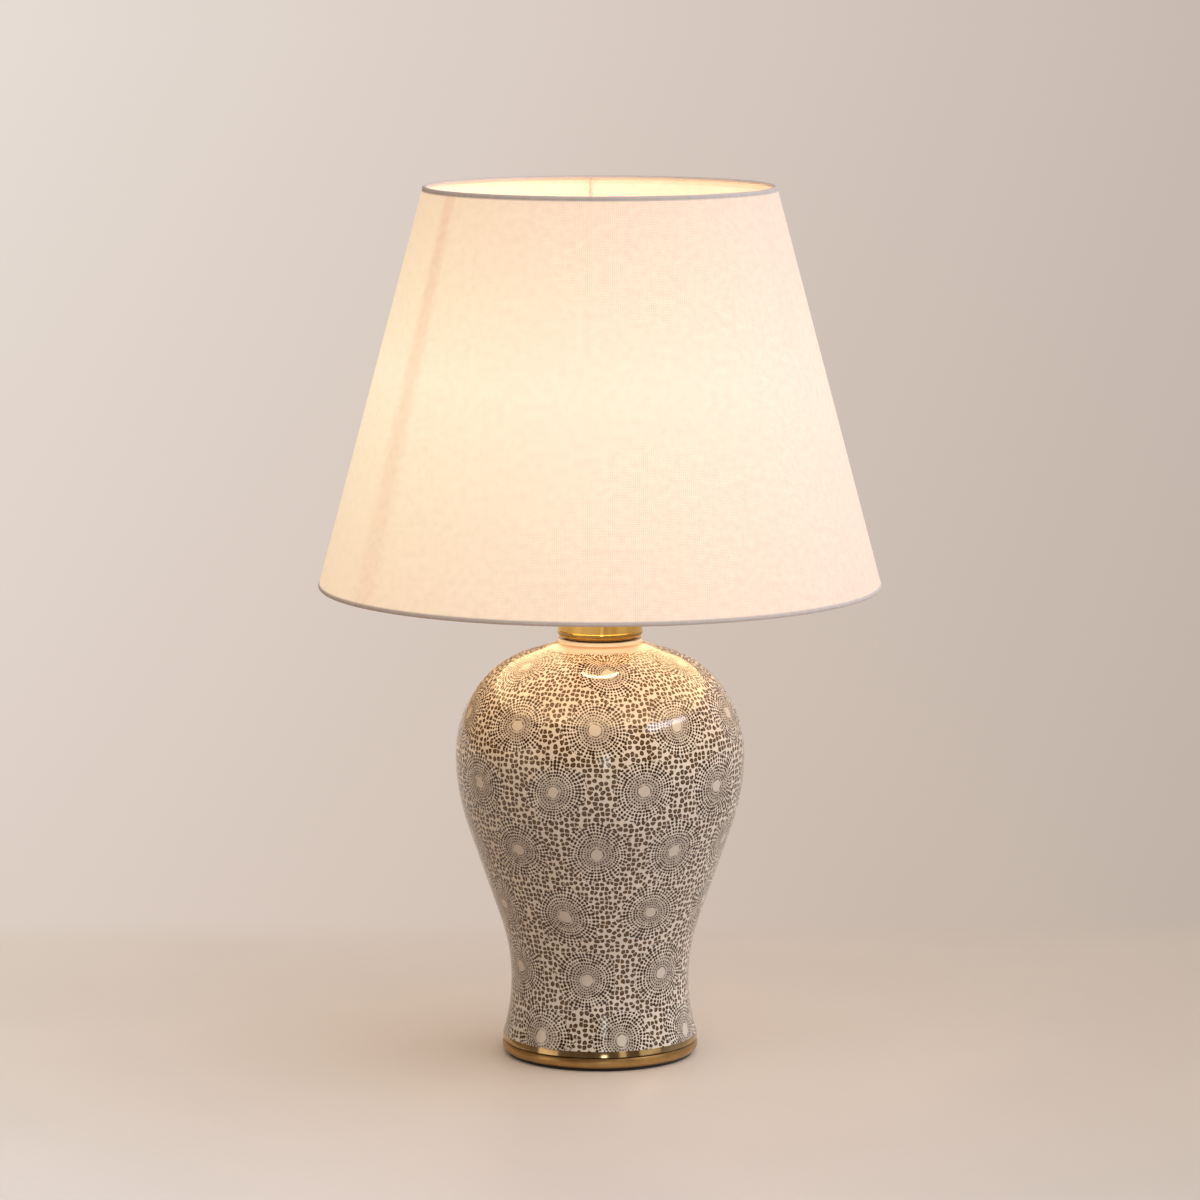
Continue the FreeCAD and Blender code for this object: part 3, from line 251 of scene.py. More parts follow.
# Painted light: tones of the floor and of the wall at its top and at its foot, from the picture's
# left to right; they are lighter on the left and darker at the wall's foot
FLOOR_TONES = [(0.0, "#F4EEEB"), (0.5, "#E1D7D2"), (1.0, "#D7CDC5")]
HIGH_WALL_TONES = [(0.0, "#E6DCD3"), (0.5, "#D9CBC1"), (1.0, "#C8BAB1")]
LOW_WALL_TONES = [(0.0, "#DDCEC4"), (0.5, "#D1C0B3"), (1.0, "#C2B3A8")]
# Slopes of sight, sideways and down, that the tones run between, and the least distance for them
LEAST_AWAY = 0.5
TONE_SIDES = (-0.12, 0.12)
WALL_SLOPES = (0.03, 0.21)
FLOOR_SLOPES = (0.222, 0.27)
# Painted light: shares of its tone that the floor has far off and near the camera, where it is
# lighter
FLOOR_SHARES = ((0.98, 0.97, 0.94, 1.0), (1.07, 1.09, 1.14, 1.0))
# Metres behind the lamp between which the floor turns to wall, and the wall's share in gloss
WALL_FOOT = (0.33, 0.47)
WALL_IN_GLOSS = 0.55
# The light that the left of the floor throws back is dimmer and browner, as beside a wooden wall
BOUNCE_SIDES = (0.25, -0.25)
BOUNCE_ON_LEFT = (0.60, 0.42, 0.26, 1.0)

# Soft light: the side that it comes from, the cosines between which it grows, and its colour
SOFT_LIGHT = (
    ((-1.0, 0.0, 0.0), (-0.3, 1.0), (0.12, 0.03, 0.00)),
    ((1.0, 0.0, 0.0), (-0.3, 1.0), (1.20, 1.19, 1.26)),
    ((0.0, -1.0, 0.0), (-0.7, 0.7), (0.26, 0.28, 0.20)),
    ((0.0, 0.0, 1.0), (-0.7, 0.7), (0.38, 0.355, 0.335)),
)

# Room that gloss mirrors: its front, and its left and right sides
MIRRORED_FRONT = (0.16, 0.12, 0.085, 1.0)
MIRRORED_SIDES = ((0.32, 0.20, 0.10, 1.0), (0.52, 0.47, 0.42, 1.0))

# Azimuths, and slopes to the right, between which the front and the sides of that room meet
ROOM_CORNER = (1.1, 2.2)
ROOM_MIDDLE = (-0.3, 0.3)
# Panels that gloss mirrors: azimuth from the front, half width, lowest and highest, all in degrees,
# and colour
MIRRORED_PANELS = (
    (5.0, 3.0, -3.0, 13.0, (4.0, 3.9, 3.7, 1.0)),
    (-64.0, 13.0, -3.0, 16.0, (1.25, 1.02, 0.78, 1.0)),
    (27.0, 4.0, -3.0, 40.0, (1.0, 0.86, 0.68, 1.0)),
    (62.0, 14.0, 4.0, 45.0, (0.9, 0.78, 0.62, 1.0)),
)
# Half widths of the panels' soft edges, sideways and upwards in degrees
PANEL_BLUR = (1.0, 2.0)

# Strip light that only gloss shows: direction in degrees from the front and up, metres away from
# the vase's middle, width and height in metres, power in watts, and colour
STRIP_DIRECTION = (64.0, 35.0)
STRIP_AWAY = 1.9
STRIP_SIZE = (1.2, 0.24)
STRIP_POWER = 7.5
STRIP_COLOUR = "#EDEBFA"
VASE_MIDDLE = (0.0, 0.0, 0.2)


def linear(code):
    """The linear colour of an sRGB hex colour."""
    parts = [int(code[place:place + 2], 16) / 255 for place in (1, 3, 5)]
    return (*(p / 12.92 if p <= 0.04045 else ((p + 0.055) / 1.055) ** 2.4 for p in parts), 1.0)


def scale_of(grain):
    """A texture's scale for a grain in millimetres, on coordinates in metres."""
    return 1 / (grain * MM)


def connect(tree, node, sockets):
    """Links an output or writes a plain value into each input, in order or by number or name."""
    if isinstance(sockets, list):
        sockets = dict(enumerate(sockets))
    for place, value in sockets.items():
        if isinstance(value, bpy.types.NodeSocket):
            tree.links.new(value, node.inputs[place])
        else:
            node.inputs[place].default_value = value


def add(tree, kind, sockets=None, out=0, stops=None, **settings):
    """Adds a shader node with its settings, inputs and colour stops; gives one of its outputs.

    A stop's colour is linear or a hex code.
    A MapRange lists its value, the two ends that it comes from and the two that it goes to. A Mix
    numbers its two inputs 2 and 3 for floats, 4 and 5 for vectors, and 6 and 7 for colours.
    """
    node = tree.nodes.new("ShaderNode" + kind)
    for name, value in settings.items():
        setattr(node, name, value)
    connect(tree, node, sockets or {})
    if stops:
        ramp = node.color_ramp.elements
        ramp[0].position, ramp[-1].position = stops[0][0], stops[-1][0]
        for place, _ in stops[1:-1]:
            ramp.new(place)
        for element, (_, colour) in zip(ramp, stops):
            element.color = linear(colour) if isinstance(colour, str) else colour
    return node.outputs[out]


def surface(name, build):
    """A material for which build gives the Principled shader's sockets."""
    made = bpy.data.materials.new(name)
    made.use_nodes = True
    tree = made.node_tree
    connect(tree, tree.nodes["Principled BSDF"], build(tree))
    return made


def walk(start, steps):
    """A bmesh with an outline in the XZ plane.

    A step of two numbers runs to that point, and one of three turns about a centre by so many
    degrees. The vertex layer "way" holds the length walked, in mm.
    """
    bm = bmesh.new()
    way = bm.verts.layers.float.new("way")
    tip = bm.verts.new((start[0] * MM, 0, start[1] * MM))
    for step in steps:
        if len(step) == 2:
            tip = bmesh.ops.extrude_vert_indiv(bm, verts=[tip])["verts"][0]
            tip.co = (step[0] * MM, 0, step[1] * MM)
            continue
        centre = Vector((step[0] * MM, 0, step[1] * MM))
        turn = radians(step[2])
        finest = 2 * acos(1 - CHORD_ERROR * MM / (tip.co - centre).length)
        made = bmesh.ops.spin(
            bm, geom=[tip], cent=centre, axis=(0, -1, 0), angle=turn, steps=ceil(abs(turn) / finest)
        )
        tip = made["geom_last"][0]
    bm.verts.ensure_lookup_table()
    for before, after in zip(bm.verts[:-1], bm.verts[1:]):
        after[way] = before[way] + (after.co - before.co).length / MM
    return bm


def turned(bm):
    """Turns an outline once round the upright axis and closes it."""
    bmesh.ops.spin(
        bm,
        geom=bm.verts[:] + bm.edges[:],
        cent=(0, 0, 0),
        axis=(0, 0, 1),
        angle=tau,
        steps=SPIN_STEPS,
        use_merge=True,
    )
    bmesh.ops.remove_doubles(bm, verts=bm.verts, dist=MM / 1000)
    bmesh.ops.recalc_face_normals(bm, faces=bm.faces)
    return bm


def piece(name, bm, node, finishes, crease=TURNED_CREASE):
    """Makes a piece that stands for a CAD node, and rides and is finished as that node is."""
    mesh = bpy.data.meshes.new(name)
    bm.to_mesh(mesh)
    bm.free()
    mesh.shade_smooth()
    mesh.set_sharp_from_angle(angle=radians(crease))
    for finish in finishes:
        mesh.materials.append(finish)
    made = bpy.data.objects.new(name, mesh)
    made.modifiers.new("even shading", "WEIGHTED_NORMAL").keep_sharp = True
    bpy.context.scene.collection.objects.link(made)
    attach(made, frame["nodes"][node]["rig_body"])
    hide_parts(node)
    return made


def azimuth_of(tree, place):
    """Angle of a place round the upright axis, from the front and growing to the right."""
    seen = add(tree, "VectorMath", [place, (1, -1, 1)], operation="MULTIPLY")
    axes = add(tree, "SeparateXYZ", [seen]).node.outputs
    return add(tree, "Math", [axes[0], axes[1]], operation="ARCTAN2")


def radius_of(tree, axes):
    """Distance of a place from the upright axis, from its three axes."""
    flat = add(tree, "CombineXYZ", [axes[0], axes[1]])
    return add(tree, "VectorMath", [flat], out="Value", operation="LENGTH")


def nearest_rosette(tree, azimuth, way, radius):
    """Offset in mm from the centre of the nearest rosette of any row."""
    nearest, least = None, None
    for up, count, turn in ROSETTE_ROWS:
        across = add(tree, "Math", [azimuth, radians(turn)], operation="SUBTRACT")
        across = add(tree, "Math", [across, pi / count, -pi / count], operation="WRAP")
        across = add(tree, "Math", [across, radius], operation="MULTIPLY")
        along = add(tree, "Math", [way, up + ORIGIN_WAY], operation="SUBTRACT")
        offset = add(tree, "CombineXYZ", [across, along])
        reach = add(tree, "VectorMath", [offset], out="Value", operation="LENGTH")
        if nearest is None:
            nearest, least = offset, reach
            continue
        closer = add(tree, "Math", [reach, least], operation="LESS_THAN")
        nearest = add(tree, "Mix", {0: closer, 4: nearest, 5: offset}, out=1, data_type="VECTOR")
        least = add(tree, "Math", [reach, least], operation="MINIMUM")
    return nearest


def rosette(tree, offset, uneven):
    """Ink of one rosette, and the way from its centre: rings of dots round an eye with a dark rim.

    Each ring has as many dots as fit at an even spacing, up to a most, from where on the dots stand
    in spokes. The dots grow outwards.
    """
    reach = add(tree, "VectorMath", [offset], out="Value", operation="LENGTH")
    axes = add(tree, "SeparateXYZ", [offset]).node.outputs
    direction = add(tree, "Math", [axes[1], axes[0]], operation="ARCTAN2")
    # Number of the ring, the way out to its middle, and how many dots it holds
    ring = add(tree, "Math", [reach, RING_POWER], operation="POWER")
    ring = add(tree, "Math", [ring, RING_RATE], operation="MULTIPLY")
    ring = add(tree, "Math", [ring], operation="FLOOR")
    middle = add(tree, "Math", [ring, 0.5], operation="ADD")
    middle = add(tree, "Math", [middle, RING_RATE], operation="DIVIDE")
    middle = add(tree, "Math", [middle, 1 / RING_POWER], operation="POWER")
    count = add(tree, "Math", [middle, tau / INNER_DOT_SPACING], operation="MULTIPLY")
    count = add(tree, "Math", [count, MOST_DOTS], operation="MINIMUM")
    count = add(tree, "Math", [count], operation="ROUND")
    # How far a point is from its dot's centre, round the ring and outwards
    place = add(tree, "Math", [direction, 1 / tau, RING_SHIFT], operation="MULTIPLY_ADD")
    place = add(tree, "Math", [place, count], operation="MULTIPLY")
    place = add(tree, "Math", [place], operation="FRACT")
    place = add(tree, "Math", [place, 0.5], operation="SUBTRACT")
    spacing = add(tree, "Math", [reach, count], operation="DIVIDE")
    spacing = add(tree, "Math", [spacing, tau], operation="MULTIPLY")
    across = add(tree, "Math", [place, spacing], operation="MULTIPLY")
    along = add(tree, "Math", [reach, middle], operation="SUBTRACT")
    from_dot = add(tree, "CombineXYZ", [across, along])
    from_dot = add(tree, "VectorMath", [from_dot], out="Value", operation="LENGTH")
    # Ink of the dots, fading at their edges
    size = add(tree, "MapRange", [reach, *DOT_GROWTH, *DOT_RADII])
    size = add(tree, "Math", [size, uneven], operation="MULTIPLY")
    from_dot = add(tree, "Math", [from_dot, size], operation="DIVIDE")
    dots = add(tree, "MapRange", [from_dot, *DOT_EDGE], interpolation_type="SMOOTHSTEP")
    outside_rim = add(tree, "Math", [ring, RINGS_IN_EYE], operation="GREATER_THAN")
    dots = add(tree, "Math", [dots, outside_rim], operation="MULTIPLY")
    # Run ink between the inner dots, and the eye with its rim
    wash = add(tree, "MapRange", [reach, *WASH_WAYS, *WASH_SHARES])
    wash = add(tree, "Mix", {0: outside_rim, 2: EYE_WASH, 3: wash})
    dots = add(tree, "Math", [dots, wash], operation="MAXIMUM")
    rim = add(tree, "Math", [reach, EYE_RIM], operation="SUBTRACT")
    rim = add(tree, "Math", [rim], operation="ABSOLUTE")
    rim = add(tree, "MapRange", [rim, *RIM_EDGE], interpolation_type="SMOOTHSTEP")
    broken = add(tree, "MapRange", [uneven, *RIM_THIN, *RIM_SHARES])
    rim = add(tree, "Math", [rim, broken], operation="MULTIPLY")
    return reach, add(tree, "Math", [dots, rim], operation="MAXIMUM")


def blobs(tree, spot):
    """Ink of the larger round blobs between the rosettes, and how far each point is inside one."""
    sockets = {"Vector": spot, "Scale": 1 / BLOB_SPACING, "Randomness": BLOB_JITTER}
    cell = add(tree, "TexVoronoi", sockets, voronoi_dimensions="2D").node.outputs
    gap = add(tree, "TexVoronoi", sockets, voronoi_dimensions="2D", feature="DISTANCE_TO_EDGE")
    size = add(tree, "SeparateColor", [cell["Color"]])
    size = add(tree, "MapRange", [size, 0.0, 1.0, *BLOB_SHARES])
    share = add(tree, "Math", [cell["Distance"], size], operation="DIVIDE")
    ink = add(tree, "MapRange", [share, *BLOB_EDGE], interpolation_type="SMOOTHSTEP")
    apart = add(tree, "MapRange", [gap, *BLOB_GAP], interpolation_type="SMOOTHSTEP")
    return add(tree, "Math", [ink, apart], operation="MULTIPLY"), share


# Fired earthenware under a clear glaze, with a printed pattern of brown dots. The glaze gives
# sharp, slightly wavy reflections over a pale grey ground. The print's blobs have a dark edge and a
# lighter middle, and a brown line of painted shade darkens the crease under the neck.
def glazed_print(tree):
    place = add(tree, "TexCoord", out="Object")
    millimetres = add(tree, "VectorMath", {0: place, "Scale": 1 / MM}, operation="SCALE")
    axes = add(tree, "SeparateXYZ", [millimetres]).node.outputs
    radius = radius_of(tree, axes)
    azimuth = azimuth_of(tree, millimetres)
    way = add(tree, "Attribute", out="Fac", attribute_name="way")
    drift = add(tree, "TexNoise", {"Vector": millimetres, "Scale": 1 / DRIFT_GRAIN}, out="Color")
    drift = add(tree, "VectorMath", [drift, (0.5, 0.5, 0.5)], operation="SUBTRACT")
    drift = add(tree, "VectorMath", {0: drift, "Scale": ROSETTE_DRIFT}, operation="SCALE")
    drift = add(tree, "SeparateXYZ", [drift]).node.outputs
    shifted = add(tree, "Math", [drift[0], radius], operation="DIVIDE")
    shifted = add(tree, "Math", [azimuth, shifted], operation="ADD")
    raised = add(tree, "Math", [way, drift[1]], operation="ADD")
    nearest = nearest_rosette(tree, shifted, raised, radius)
    sockets = {"Vector": millimetres, "Scale": 1 / WOBBLE_GRAIN, "Detail": 0.0}
    wobble = add(tree, "TexNoise", sockets, out="Color")
    wobble = add(tree, "VectorMath", [wobble, (0.5, 0.5, 0.5)], operation="SUBTRACT")
    uneven = add(tree, "SeparateXYZ", [wobble], out=2)
    uneven = add(tree, "Math", [uneven, 1.0, 1.0], operation="MULTIPLY_ADD")
    offset = add(tree, "VectorMath", [wobble, DOT_WOBBLE, nearest], operation="MULTIPLY_ADD")
    reach, dots = rosette(tree, offset, uneven)
    upper = add(tree, "Math", [way, BLOB_SEAM], operation="GREATER_THAN")
    girth = add(tree, "MapRange", [upper, 0.0, 1.0, *BLOB_GIRTHS])
    spot = add(tree, "Math", [azimuth, girth], operation="MULTIPLY")
    spot = add(tree, "CombineXYZ", [spot, way])
    spot = add(tree, "VectorMath", [wobble, BLOB_WOBBLE, spot], operation="MULTIPLY_ADD")
    blob, inside = blobs(tree, spot)
    border = add(tree, "TexNoise", {"Vector": millimetres, "Scale": 1 / BORDER_GRAIN}, out="Fac")
    border = add(tree, "Math", [border, BORDER_WANDER, reach], operation="MULTIPLY_ADD")
    between = add(tree, "MapRange", [border, *ROSETTE_EDGE])
    ink = add(tree, "Mix", {0: between, 2: dots, 3: blob})
    below_neck = add(tree, "MapRange", [axes[2], *PRINT_TOP])
    ink = add(tree, "Math", [ink, below_neck], operation="MULTIPLY")
    middle = add(tree, "MapRange", [inside, *BLOB_MIDDLE])
    middle = add(tree, "Math", [middle, between], operation="MULTIPLY")
    browns = {0: middle, 6: linear("#3A2511"), 7: linear("#64482B")}
    brown = add(tree, "Mix", browns, out=2, data_type="RGBA")
    sockets = {"Vector": place, "Scale": scale_of(GLAZE_CLOUD), "Detail": 3.0}
    cloudy = add(tree, "TexNoise", sockets)
    ground = add(tree, "ValToRGB", [cloudy], stops=[(0.3, "#D3C9C0"), (0.7, "#DFD6CD")])
    # Painted shade: a brown line in the crease under the neck
    crease_shade = add(tree, "Math", [axes[2], NECK_ROOT], operation="SUBTRACT")
    crease_shade = add(tree, "Math", [crease_shade], operation="ABSOLUTE")
    sockets = [crease_shade, *CREASE_SHADE_EDGE, 0.0, CREASE_SHADE_SHARE]
    crease_shade = add(tree, "MapRange", sockets, interpolation_type="SMOOTHSTEP")
    ground = add(tree, "Mix", {0: crease_shade, 6: ground, 7: linear("#A87A3E")}, out=2, data_type="RGBA")
    colour = add(tree, "Mix", {0: ink, 6: ground, 7: brown}, out=2, data_type="RGBA")
    relief = add(tree, "Bump", {"Height": ink, "Strength": 0.04, "Distance": 0.05 * MM})
    sockets = {"Vector": place, "Scale": scale_of(GLAZE_WAVE), "Detail": 1.0}
    waves = add(tree, "TexNoise", sockets)
    sockets = {"Height": waves, "Strength": 0.35, "Distance": 0.3 * MM, "Normal": relief}
    relief = add(tree, "Bump", sockets)
    return {"Base Color": colour, "Roughness": 0.08, "IOR": 1.52, "Normal": relief}


# Gold lustre fired on the glaze: a thin metal film, as smooth as the glaze under it, so it mirrors
# sharply, with slight clouds of wear.
def gold_lustre(tree):
    place = add(tree, "TexCoord", out="Object")
    sockets = {"Vector": place, "Scale": scale_of(LUSTRE_CLOUD), "Detail": 4.0}
    cloud = add(tree, "TexNoise", sockets)
    colour = add(tree, "ValToRGB", [cloud], stops=[(0.35, "#A98F66"), (0.65, "#C9B189")])
    rough = add(tree, "MapRange", [cloud, 0.0, 1.0, 0.06, 0.16])
    slope = add(tree, "NewGeometry", out="Normal")
    slope = add(tree, "VectorMath", [slope, (0.0, 0.0, LUSTRE_TILT)], operation="ADD")
    slope = add(tree, "VectorMath", [slope], operation="NORMALIZE")
    return {"Base Color": colour, "Roughness": rough, "Metallic": 1.0, "Normal": slope}


def metal_turned(name, colours, rough, groove, relief, painted_shade=None):
    """Metal spun or turned on a lathe: fine marks run round it and blur what it mirrors.

    The groove is the marks' spacing in mm. A painted shade is a level in mm under which the metal
    is painted darker, as shade falls there, and to what share.
    """

    def build(tree):
        place = add(tree, "TexCoord", out="Object")
        axes = add(tree, "SeparateXYZ", [place]).node.outputs
        slow = add(tree, "Math", [axes[0], ALONG_A_MARK], operation="MULTIPLY")
        marks = add(tree, "CombineXYZ", [radius_of(tree, axes), axes[2], slow])
        marks = add(tree, "TexNoise", {"Vector": marks, "Scale": scale_of(groove), "Detail": 2.0})
        sockets = {"Vector": place, "Scale": scale_of(TARNISH_CLOUD), "Detail": 4.0}
        tarnish = add(tree, "TexNoise", sockets)
        colour = add(tree, "ValToRGB", [tarnish], stops=[(0.3, colours[0]), (0.7, colours[1])])
        # Painted shade: the metal is darker below a level, where shade falls at its foot
        if painted_shade:
            level, share = painted_shade
            low, high = (level - FOOT_SHADE_BLUR) * MM, (level + FOOT_SHADE_BLUR) * MM
            lit_share = add(tree, "MapRange", [axes[2], low, high, share])
            colour = add(tree, "VectorMath", {0: colour, "Scale": lit_share}, operation="SCALE")
        roughness = add(tree, "MapRange", [marks, *NOISE_SPAN, *rough])
        normal = add(tree, "Bump", {"Height": marks, "Strength": relief, "Distance": 0.02 * MM})
        return {"Base Color": colour, "Metallic": 1.0, "Roughness": roughness, "Normal": normal}

    return surface(name, build)


def mottled(name, colours, grain, rough, relief):
    """Two tones in clouds of a grain size in mm, with a fine relief of the same grain."""

    def build(tree):
        place = add(tree, "TexCoord", out="Object")
        grains = add(tree, "TexNoise", {"Vector": place, "Scale": scale_of(grain), "Detail": 3.0})
        colour = add(tree, "ValToRGB", [grains], stops=[(0.35, colours[0]), (0.65, colours[1])])
        roughness = add(tree, "MapRange", [grains, *NOISE_SPAN, *rough])
        normal = add(tree, "Bump", {"Height": grains, "Strength": 0.4, "Distance": relief * MM})
        return {"Base Color": colour, "Roughness": roughness, "Normal": normal}

    return surface(name, build)


# Cotton and linen cloth, plain weave, laminated on a stiff sheet: matt and grey where it is folded
# round the wires, and glowing warm where the lamp lights it from inside. The threads are drawn
# 1.4 mm apart, coarser than the real 0.5 mm, so that they show.
def shade_cloth(tree):
    place = add(tree, "TexCoord", out="Object")
    axes = add(tree, "SeparateXYZ", [place]).node.outputs
    level = add(tree, "Math", [axes[2], 1 / MM], operation="MULTIPLY")
    threads = add(tree, "UVMap", uv_map="cloth")
    sockets = {"Vector": threads, "Scale": scale_of(THREAD_CLOUD), "Detail": 2.0}
    uneven = add(tree, "TexNoise", sockets)
    scale = WAVE_LENGTH * scale_of(THREAD_SPACING)
    sockets = {"Vector": threads, "Scale": scale, "Distortion": 3.0, "Detail": 2.0}
    weave = [add(tree, "TexWave", sockets, out="Fac", bands_direction=axis) for axis in "XY"]
    weave = add(tree, "Math", weave, operation="MAXIMUM")
    grain = add(tree, "Mix", {0: 0.5, 2: weave, 3: uneven})
    colour = add(tree, "ValToRGB", [grain], stops=[(0.3, "#C3B7B6"), (0.8, "#D3C9C8")])
    height = add(tree, "MapRange", [level, BOTTOM_RING[1], TOP_RING[1]])
    glow = add(tree, "ValToRGB", [height], stops=SHADE_GLOW)
    inside_hems = add(tree, "Math", [height, 0.5], operation="SUBTRACT")
    inside_hems = add(tree, "Math", [inside_hems], operation="ABSOLUTE")
    inside_hems = add(tree, "MapRange", [inside_hems, *HEM_SHADE])
    threads_shade = add(tree, "MapRange", [grain, 0.2, 0.8, *THREAD_SHADES])
    light = add(tree, "Math", [inside_hems, threads_shade], operation="MULTIPLY")
    azimuth = azimuth_of(tree, place)
    side = add(tree, "Math", [azimuth], operation="SINE")
    side = add(tree, "Math", [side, 0.5, 0.5], operation="MULTIPLY_ADD")
    side = add(tree, "Mix", {0: side, 6: SIDE_GLOWS[0], 7: SIDE_GLOWS[1]}, out=2, data_type="RGBA")
    glow = add(tree, "VectorMath", [glow, side], operation="MULTIPLY")
    for turn, low_width, top_width, low_depth, top_depth in ARM_SHADOWS:
        away = add(tree, "Math", [azimuth, radians(turn)], operation="SUBTRACT")
        away = add(tree, "Math", [away, pi, -pi], operation="WRAP")
        away = add(tree, "Math", [away], operation="ABSOLUTE")
        width = add(tree, "MapRange", [height, 0.0, 1.0, low_width, top_width])
        share = add(tree, "Math", [away, width], operation="DIVIDE")
        depth = add(tree, "MapRange", [height, 0.0, 1.0, low_depth, top_depth])
        shadow = add(tree, "MapRange", [share, *ARM_EDGE], interpolation_type="SMOOTHSTEP")
        shadow = add(tree, "Math", [shadow, depth], operation="MULTIPLY")
        sockets = [shadow, SHADOW_TINT, (1, 1, 1)]
        kept = add(tree, "VectorMath", sockets, operation="MULTIPLY_ADD")
        glow = add(tree, "VectorMath", [glow, kept], operation="MULTIPLY")
    glow = add(tree, "VectorMath", {0: glow, "Scale": light}, operation="SCALE")
    normal = add(tree, "Bump", {"Height": grain, "Strength": 0.35, "Distance": 0.25 * MM})
    return {
        "Base Color": colour,
        "Roughness": 0.9,
        "Sheen Weight": 0.15,
        "Normal": normal,
        "Emission Color": glow,
        "Emission Strength": 1.0,
    }


# Stiff white plastic sheet behind the cloth; it spreads the bulb's light and glows warm.
def shade_sheet(tree):
    place = add(tree, "TexCoord", out="Object")
    axes = add(tree, "SeparateXYZ", [place]).node.outputs
    height = add(tree, "MapRange", [axes[2], BOTTOM_RING[1] * MM, TOP_RING[1] * MM])
    sockets = {"Vector": place, "Scale": scale_of(SHEET_CLOUD), "Detail": 3.0}
    cloudy = add(tree, "TexNoise", sockets)
    colour = add(tree, "ValToRGB", [cloudy], stops=[(0.3, "#EFE1DB"), (0.7, "#F7EAE5")])
    glow = add(tree, "ValToRGB", [height], stops=LINER_GLOW)
    return {
        "Base Color": colour,
        "Roughness": 0.55,
        "Emission Color": glow,
        "Emission Strength": 1.0,
    }


# Needled wool felt, dyed black: short fibres lie in all directions and catch no gloss.
def wool_felt(tree):
    place = add(tree, "TexCoord", out="Object")
    flat = add(tree, "Mapping", {0: place, "Scale": (1.0, 1.0, FELT_FLATNESS)})
    scale = scale_of(FELT_FIBRE)
    sockets = {"Vector": flat, "Scale": scale, "Detail": 4.0, "Distortion": 2.0}
    fibres = add(tree, "TexNoise", sockets)
    colour = add(tree, "ValToRGB", [fibres], stops=[(0.3, "#1B1310"), (0.7, "#3A2C25")])
    normal = add(tree, "Bump", {"Height": fibres, "Strength": 0.8, "Distance": 0.3 * MM})
    return {"Base Color": colour, "Roughness": 0.95, "Sheen Weight": 0.3, "Normal": normal}


# Opal polycarbonate globe of the bulb, lit by the chips under it: even warm white light, a little
# redder at its foot.
def opal_globe(tree):
    place = add(tree, "TexCoord", out="Object")
    level = add(tree, "SeparateXYZ", [place], out=2)
    lowest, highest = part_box("bulb_dome")
    height = add(tree, "MapRange", [level, lowest[2], highest[2]])
    glow = add(tree, "ValToRGB", [height], stops=[(0.0, "#FFCF90"), (0.25, "#FFDDAE")])
    mirrored = add(tree, "LightPath", out="Is Glossy Ray")
    sockets = [mirrored, GLOBE_MIRRORED, GLOBE_LIGHT]
    strength = add(tree, "Math", sockets, operation="MULTIPLY_ADD")
    return {
        "Base Color": linear("#F7F0E2"),
        "Roughness": 0.35,
        "Emission Color": glow,
        "Emission Strength": strength,
    }


glaze = surface("earthenware printed and glazed", glazed_print)
lustre = surface("gold lustre fired on the glaze", gold_lustre)
cloth = surface("linen cloth laminated", shade_cloth)
sheet = surface("opal sheet rolled", shade_sheet)
felt = surface("wool felt needled", wool_felt)
opal = surface("opal polycarbonate blown", opal_globe)

# Brass lacquered and satin turned: a soft warm gleam with fine rings
foot_brass = metal_turned("brass satin turned", ("#A98554", "#BF9A66"), (0.26, 0.36), 0.35, 0.25)
# Brass turned and polished: nearly a mirror, deeper yellow, and painted shade where its foot meets
# the neck
cap_brass = metal_turned(
    "brass turned and polished", ("#E6B35C", "#F8CA72"), (0.08, 0.16), 0.3, 0.12, CAP_FOOT_SHADE
)
# Brass strip stamped: dull yellow
contact_brass = metal_turned("brass strip stamped", ("#B08E52", "#C7A566"), (0.25, 0.35), 0.6, 0.2)
# Steel plated with zinc: pale grey with a faint mottle
zinc_steel = metal_turned("steel zinc plated", ("#A9A8A4", "#C3C2BD"), (0.28, 0.40), 0.5, 0.2)
# Aluminium pressed: the bulb's screw shell, lightly frosted
shell_metal = metal_turned("aluminium pressed", ("#BDBAB4", "#D0CDC7"), (0.25, 0.38), 0.4, 0.2)
# Tin solder on the bulb's tip: dull silver
tip_metal = metal_turned("solder tip", ("#A8A49A", "#C4C0B6"), (0.3, 0.45), 0.5, 0.3)
# Rubber moulded: near black, dull
rubber = mottled("rubber moulded", ("#1C1916", "#2A2622"), 0.8, (0.65, 0.8), 0.05)
# Phenolic moulded: black with a hard gloss and fine flow clouds
phenolic = mottled("phenolic moulded", ("#191613", "#25211D"), 1.5, (0.16, 0.28), 0.02)
# Nylon moulded: brown bush, slightly waxy
nylon = mottled("nylon moulded", ("#4F3720", "#5F452B"), 1.2, (0.4, 0.5), 0.03)
# Steatite pressed and fired: chalky white with a fine pore
steatite = mottled("steatite fired", ("#DDD7CA", "#EAE5DA"), 0.9, (0.5, 0.65), 0.06)
# Enamel sprayed on wire: gloss white with a faint orange peel
enamel = mottled("enamel sprayed", ("#DAD5CC", "#E6E2DA"), 1.6, (0.22, 0.34), 0.05)
# Polybutylene moulded: the bulb's white housing, satin
housing_white = mottled("polybutylene moulded", ("#E2DFD8", "#EEECE6"), 0.7, (0.35, 0.45), 0.02)
# Solder mask on an aluminium board: flat white
board_white = mottled("solder mask printed", ("#DEDEDA", "#ECECE9"), 0.5, (0.4, 0.5), 0.01)
# Glass pressed and black: the insulator round the tip, with a wet gloss
black_glass = mottled("glass pressed black", ("#0E0E10", "#18181B"), 1.0, (0.08, 0.14), 0.01)

